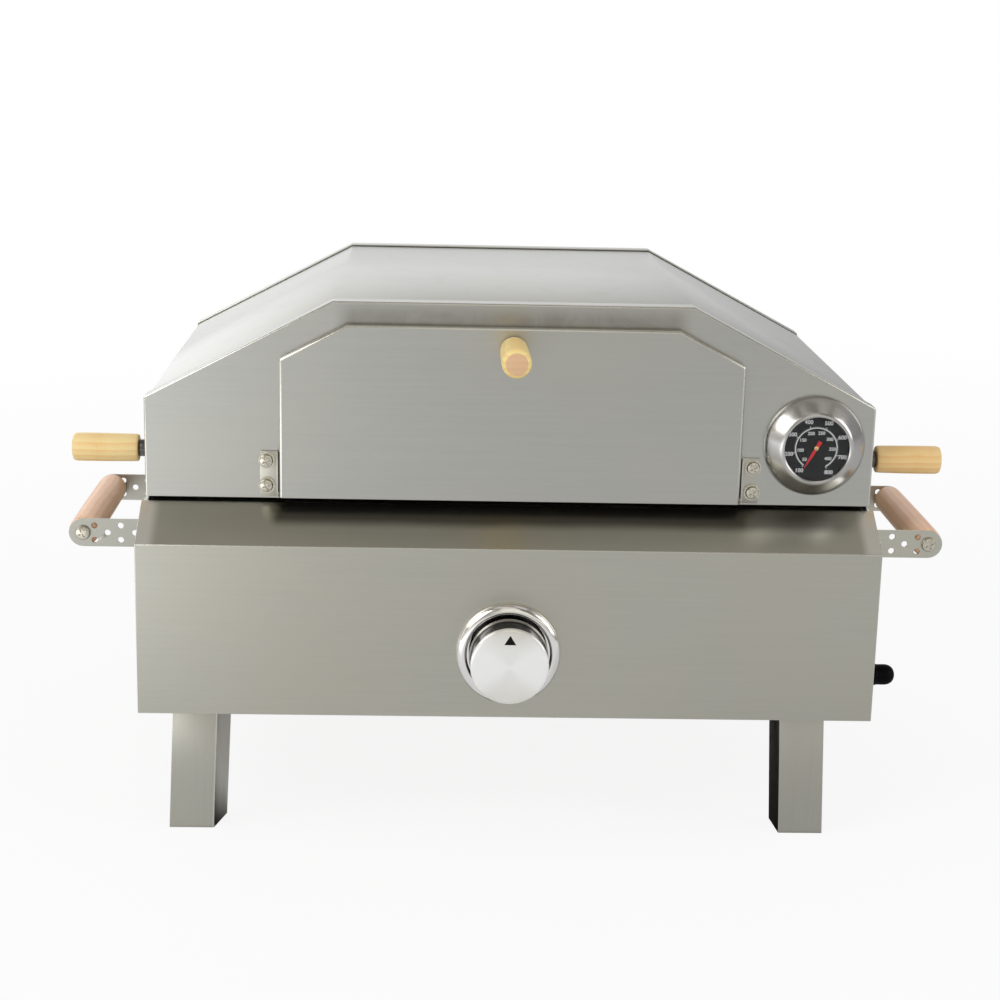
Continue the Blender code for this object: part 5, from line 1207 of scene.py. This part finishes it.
class OVEN_OT_control_knob(bpy.types.Operator):
    """Turns the polished knob, its black skirt, the pointer and the bezel behind it"""
    bl_idname = "oven.control_knob"
    bl_label = "Control knob"

    def execute(self, context):
        at, depth, radius = span("control_knob", "y")
        radius += KNOB_EXTRA
        inside, under = radius - KNOB_WALL, depth / 2 + GAP
        cap = [(inside, depth), (radius, depth),
               *((radius * share, behind) for share, behind in KNOB_EDGE),
               *((radius * share, KNOB_CROWN * share ** 2) for share in KNOB_FACE_SHARES),
               (0, under), (inside, under)]
        turned_piece("knob_cap", "control_knob", "knob", spun_face(at, radius),
                     cap, at, "y", KNOB_ROUNDING, (1,))
        self.add_pointer(at, radius)
        self.add_skirt(at, depth, radius)
        ring_at, ring_depth, outer = span("knob_bezel", "-y")
        outer += BEZEL_EXTRA
        ring = [(BEZEL_BORE, 0), (outer, 0),
                *((outer + (BEZEL_INNER - outer) * share, ring_depth * up)
                  for share, up in BEZEL_SHARES),
                (BEZEL_INNER, BEZEL_FLOOR), (BEZEL_BORE, BEZEL_FLOOR)]
        turned_piece("bezel_ring", "knob_bezel", "body",
                     polished_steel("polished_steel", 0.0, 1.0), ring, ring_at,
                     "-y")
        block_piece("valve_stem", "knob", brass())
        block_piece("valve_push_ring", "push_ring", plain_steel())
        return {"FINISHED"}

    def add_pointer(self, at, radius):
        half = sizes().pointer_size / 2
        base, tip = (radius * share for share in POINTER_SHARES)
        shape = bmesh.new()
        shape.faces.new([shape.verts.new(p) for p in ((-half, 0, base), (half, 0, base),
                                                      (0, 0, tip))])
        bmesh.ops.subdivide_edges(shape, edges=shape.edges[:], cuts=5, use_grid_fill=True)
        for vert in shape.verts:
            away = math.hypot(vert.co.x, vert.co.z) / radius
            vert.co.y = KNOB_CROWN * away ** 2 - TINY
        bmesh.ops.recalc_face_normals(shape, faces=shape.faces)
        bmesh.ops.translate(faced(shape, 1, -1), vec=at, verts=shape.verts)
        add_piece("knob_pointer", shape, "knob", [pointer_black()])

    def add_skirt(self, at, front, radius):
        low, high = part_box("knob_skirt")
        rim, rear = (high.x - low.x) / 2, high.y - at.y
        inner, cap_middle = radius - SKIRT_ROOM, low.y - at.y
        neck, neck_before = SKIRT_NECK
        skirt = [(SKIRT_BORE, rear), (SKIRT_HUB, rear),
                 *((rim * share, rear - before) for share, before in SKIRT_RIM),
                 (radius * neck, rear - neck_before), (inner, front + GAP), (inner, cap_middle),
                 (0, cap_middle), (0, rear - SKIRT_DEPTH), (SKIRT_BORE, rear - SKIRT_DEPTH)]
        shape = turned(skirt, at, "y", sizes().turned_steps, SKIRT_ROUNDING, (2, 3))
        for face in shape.faces:
            centre = face.calc_center_median() - at
            if math.hypot(centre.x, centre.z) > rim * SKIRT_TRIM_SHARE:
                face.material_index = 1
        trim = polished_steel("skirt_trim", 0.10, 0.55)
        add_piece("skirt_moulding", shape, "knob", [black_plastic(), trim],
                  ["knob_skirt"])


# Wooden pegs and handles

PEG_BORE, PEG_BORE_SHARE = 0.0025, 0.7
# Curves from a peg's root to its end, as shares of its length and of its radius
PEG_CURVE = (
    (0.0, 0.90), (0.010, 0.945), (0.028, 0.965), (0.08, 0.975), (0.25, 0.985), (0.45, 0.995),
    (0.65, 1.0), (0.82, 1.0), (0.92, 0.995), (0.958, 0.975), (0.982, 0.94), (0.994, 0.89),
    (1.0, 0.83))
DOOR_PEG_CURVE = (
    (0.0, 0.90), (0.012, 0.935), (0.03, 0.95), (0.10, 0.965), (0.25, 0.98), (0.45, 0.995),
    (0.60, 1.0), (0.86, 1.0), (0.925, 0.995), (0.950, 0.975), (0.970, 0.92), (0.985, 0.84),
    (0.995, 0.77), (1.0, 0.72))
DOOR_PEG_HEART, DOOR_PEG_CAST = (0.012, 0.012, 0), (1.0, 1.02, 0.86)
SIDE_PEG_HEART = (0.013, 0.011, 0)
# painted shade: the right lifting peg darker and browner than the left
SIDE_PEG_PAINTED_SHADE = {"left": (1, 1, 1), "right": (0.91, 0.83, 0.79)}
GRIP_HEART, GRIP_BORE, GRIP_END_SHARE = (0.012, 0.010, 0), 0.0026, 0.97
BELLY_STEPS, BELLY_SHARE, BELLY_MARGIN_SHARE = 8, 0.015, 0.08
ROD_RADIUS, ROD_HEAD_HEIGHT, ROD_HEAD_SHARE = 0.0023, 0.0030, 1.3
# painted light and shade: the left carry bracket darker, the right one lighter
BRACKET_LIGHT_AND_SHADE = {"left": (0.80, 0.80, 0.78), "right": (1.10, 1.10, 1.05)}


def add_peg(node, name, body, axis, finish, shares):
    """A turned wooden peg on its screw, from its root outwards."""
    at, long, radius = span(node, axis)
    bore_end = long * PEG_BORE_SHARE
    profile = [(PEG_BORE, 0), *((radius * wide, long * share) for share, wide in shares),
               (0, long), (0, bore_end), (PEG_BORE, bore_end)]
    turned_piece(name, node, body, finish, profile, at, axis)


class OVEN_OT_wooden_pegs(bpy.types.Operator):
    """Turns the door's peg and the two lifting pegs, with their screws and spacers"""
    bl_idname = "oven.wooden_pegs"
    bl_label = "Wooden pegs"

    def execute(self, context):
        door_end, side_end = -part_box("door_peg")[0].y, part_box("lid_peg_right")[1].x
        finish = lacquered_wood("door_peg_wood", "y", DOOR_PEG_HEART, DOOR_PEG_CAST, door_end)
        add_peg("door_peg", "door_pull", "door", "-y", finish, DOOR_PEG_CURVE)
        for side, sign in SIDES:
            finish = lacquered_wood(side + "_peg_wood", "x", SIDE_PEG_HEART, SIDE_PEG_PAINTED_SHADE[side],
                                    side_end)
            add_peg("lid_peg_" + side, "lifting_peg_" + side, "lid", "x" if sign > 0 else "-x",
                    finish, PEG_CURVE)
            block_piece("lid_peg_bolt_" + side, "lid", polished_steel("dark_bolt", 0.15, 0.16))
        block_piece("door_peg_screw", "door", plain_steel())
        return {"FINISHED"}


class OVEN_OT_carry_handles(bpy.types.Operator):
    """Finishes the drilled brackets and turns the wooden grips and their rods"""
    bl_idname = "oven.carry_handles"
    bl_label = "Carry handles"

    def execute(self, context):
        for side, _ in SIDES:
            sheet_piece("carry_bracket_" + side, "body",
                        brushed_steel("x", cast=BRACKET_LIGHT_AND_SHADE[side]))
            self.add_grip(side)
            self.add_rod(side)
        return {"FINISHED"}

    def add_grip(self, side):
        node = "carry_grip_" + side
        at, long, radius = span(node, "y")
        belly = []
        for i in range(BELLY_STEPS + 1):
            part = i / BELLY_STEPS
            swell = BELLY_SHARE * (math.sin(math.pi * part) - 1)
            along = BELLY_MARGIN_SHARE + (1 - 2 * BELLY_MARGIN_SHARE) * part
            belly.append((radius * (1 + swell), long * along))
        end = radius * GRIP_END_SHARE
        profile = [(GRIP_BORE, 0), (end, 0), *belly, (end, long), (GRIP_BORE, long)]
        finish = lacquered_wood("grip_wood_" + side, "y", GRIP_HEART, GRIP_CAST, 0.0)
        turned_piece("turned_grip_" + side, node, "body", finish, profile, at, "y",
                     sizes().wood_chamfer, (1, len(profile) - 2))

    def add_rod(self, side):
        node = "carry_rod_" + side
        at, long, radius = span(node, "y")
        rise, head = ROD_HEAD_HEIGHT, radius * ROD_HEAD_SHARE
        shank = turned(disc(0, ROD_RADIUS, rise, long - rise), at, "y", sizes().small_steps)
        near = screw_head((at.x, at.y + rise, at.z), "-y", head, rise)
        far = screw_head((at.x, at.y + long - rise, at.z), "y", head, rise)
        add_piece("screwed_rod_" + side, joined([shank, near, far]), "body", [plated_screw()],
                  [node])


# Legs

class OVEN_OT_legs(bpy.types.Operator):
    """Finishes the four folding legs and the straps that they turn on"""
    bl_idname = "oven.legs"
    bl_label = "Folding legs"

    def execute(self, context):
        for end in ENDS:
            for side, _ in SIDES:
                name = "{}_{}".format(end, side)
                sheet_piece("leg_" + name, "leg_" + name, brushed_steel("z"))
                block_piece("leg_bracket_" + name, "body", plain_steel())
        return {"FINISHED"}


# Gas, burner and igniter

CAP_BORE, CAP_BORE_DEPTH = 0.0061, 0.0113
CAP_RIBS = (        # share of the radius, distance from the cap's mouth
    (1.0, 0.0), (1.0, 0.0022), (0.955, 0.0028), (0.955, 0.0050), (1.0, 0.0056), (1.0, 0.0078),
    (0.955, 0.0084), (0.965, 0.0128))
CAP_DOME_START, CAP_DOME_SHARE, CAP_DOME_POWER, CAP_DOME_STEPS = 0.0146, 0.965, 0.8, 6


class OVEN_OT_gas_parts(bpy.types.Operator):
    """Finishes the valve, the jet, the pipe, the inlet and its soft cap"""
    bl_idname = "oven.gas_parts"
    bl_label = "Gas parts"

    def execute(self, context):
        block_piece("gas_valve", "body", brass(), sizes().block_radius)
        block_piece("gas_jet", "body", brass())
        block_piece("inlet_fitting", "body", brass())
        block_piece("manifold_pipe", "body", plain_steel(), ROUND_BAR)
        at, long, radius = span("inlet_cap", "x")
        cap = [(CAP_BORE, 0), *((radius * wide, out) for wide, out in CAP_RIBS)]
        for i in range(CAP_DOME_STEPS):
            bend = math.pi / 2 * i / CAP_DOME_STEPS
            cap.append((radius * CAP_DOME_SHARE * math.cos(bend) ** CAP_DOME_POWER,
                        CAP_DOME_START + (long - CAP_DOME_START) * math.sin(bend)))
        cap += [(0, long), (0, CAP_BORE_DEPTH), (CAP_BORE, CAP_BORE_DEPTH)]
        turned_piece("inlet_dust_cap", "inlet_cap", "inlet_cap", black_rubber(),
                     cap, at, "x")
        return {"FINISHED"}


class OVEN_OT_burner(bpy.types.Operator):
    """Finishes the burner, its brackets, the air shutter and the igniter"""
    bl_idname = "oven.burner"
    bl_label = "Burner and igniter"

    def execute(self, context):
        block_piece("burner", "body", heat_stained_steel(), ROUND_BAR)
        block_piece("air_shutter", "body", plain_steel())
        for side, _ in SIDES:
            block_piece("burner_bracket_" + side, "body", heat_stained_steel())
        block_piece("igniter_electrode", "body", fired_ceramic())
        block_piece("igniter_wire", "body", black_rubber(), ROUND_BAR)
        return {"FINISHED"}


class OVEN_OT_stone(bpy.types.Operator):
    """Finishes the baking stone and the rack under it"""
    bl_idname = "oven.stone"
    bl_label = "Stone and rack"

    def execute(self, context):
        block_piece("pizza_stone", "stone", baking_stone(), sizes().stone_radius)
        block_piece("stone_rack", "body", heat_stained_steel())
        return {"FINISHED"}


OPERATORS = (
    OVEN_OT_stage, OVEN_OT_body_shell, OVEN_OT_fire_floor, OVEN_OT_lid, OVEN_OT_door_brackets,
    OVEN_OT_hinges, OVEN_OT_thermometer, OVEN_OT_control_knob, OVEN_OT_wooden_pegs,
    OVEN_OT_carry_handles, OVEN_OT_legs, OVEN_OT_gas_parts, OVEN_OT_burner, OVEN_OT_stone,
)
GROUPS = (("oven_sizes", OvenSizes), ("oven_colours", OvenColours), ("oven_stage", OvenStage))


class OVEN_PT_pieces(bpy.types.Panel):
    bl_idname = "OVEN_PT_pieces"
    bl_label = "Pizza oven"
    bl_space_type = "VIEW_3D"
    bl_region_type = "UI"
    bl_category = "Pizza oven"

    def draw(self, context):
        for name, group in GROUPS:
            column = self.layout.column(align=True)
            for value in group.__annotations__:
                column.prop(getattr(context.scene, name), value)
        for operator in OPERATORS:
            self.layout.operator(operator.bl_idname)


def register():
    for name, group in GROUPS:
        bpy.utils.register_class(group)
        setattr(bpy.types.Scene, name, PointerProperty(type=group))
    for operator in OPERATORS:
        bpy.utils.register_class(operator)
    bpy.utils.register_class(OVEN_PT_pieces)


def unregister():
    bpy.utils.unregister_class(OVEN_PT_pieces)
    for operator in reversed(OPERATORS):
        bpy.utils.unregister_class(operator)
    for name, group in reversed(GROUPS):
        delattr(bpy.types.Scene, name)
        bpy.utils.unregister_class(group)


def main():
    register()
    for operator in OPERATORS:
        family, action = operator.bl_idname.split(".")
        getattr(getattr(bpy.ops, family), action)()


if __name__ == "__main__":
    main()
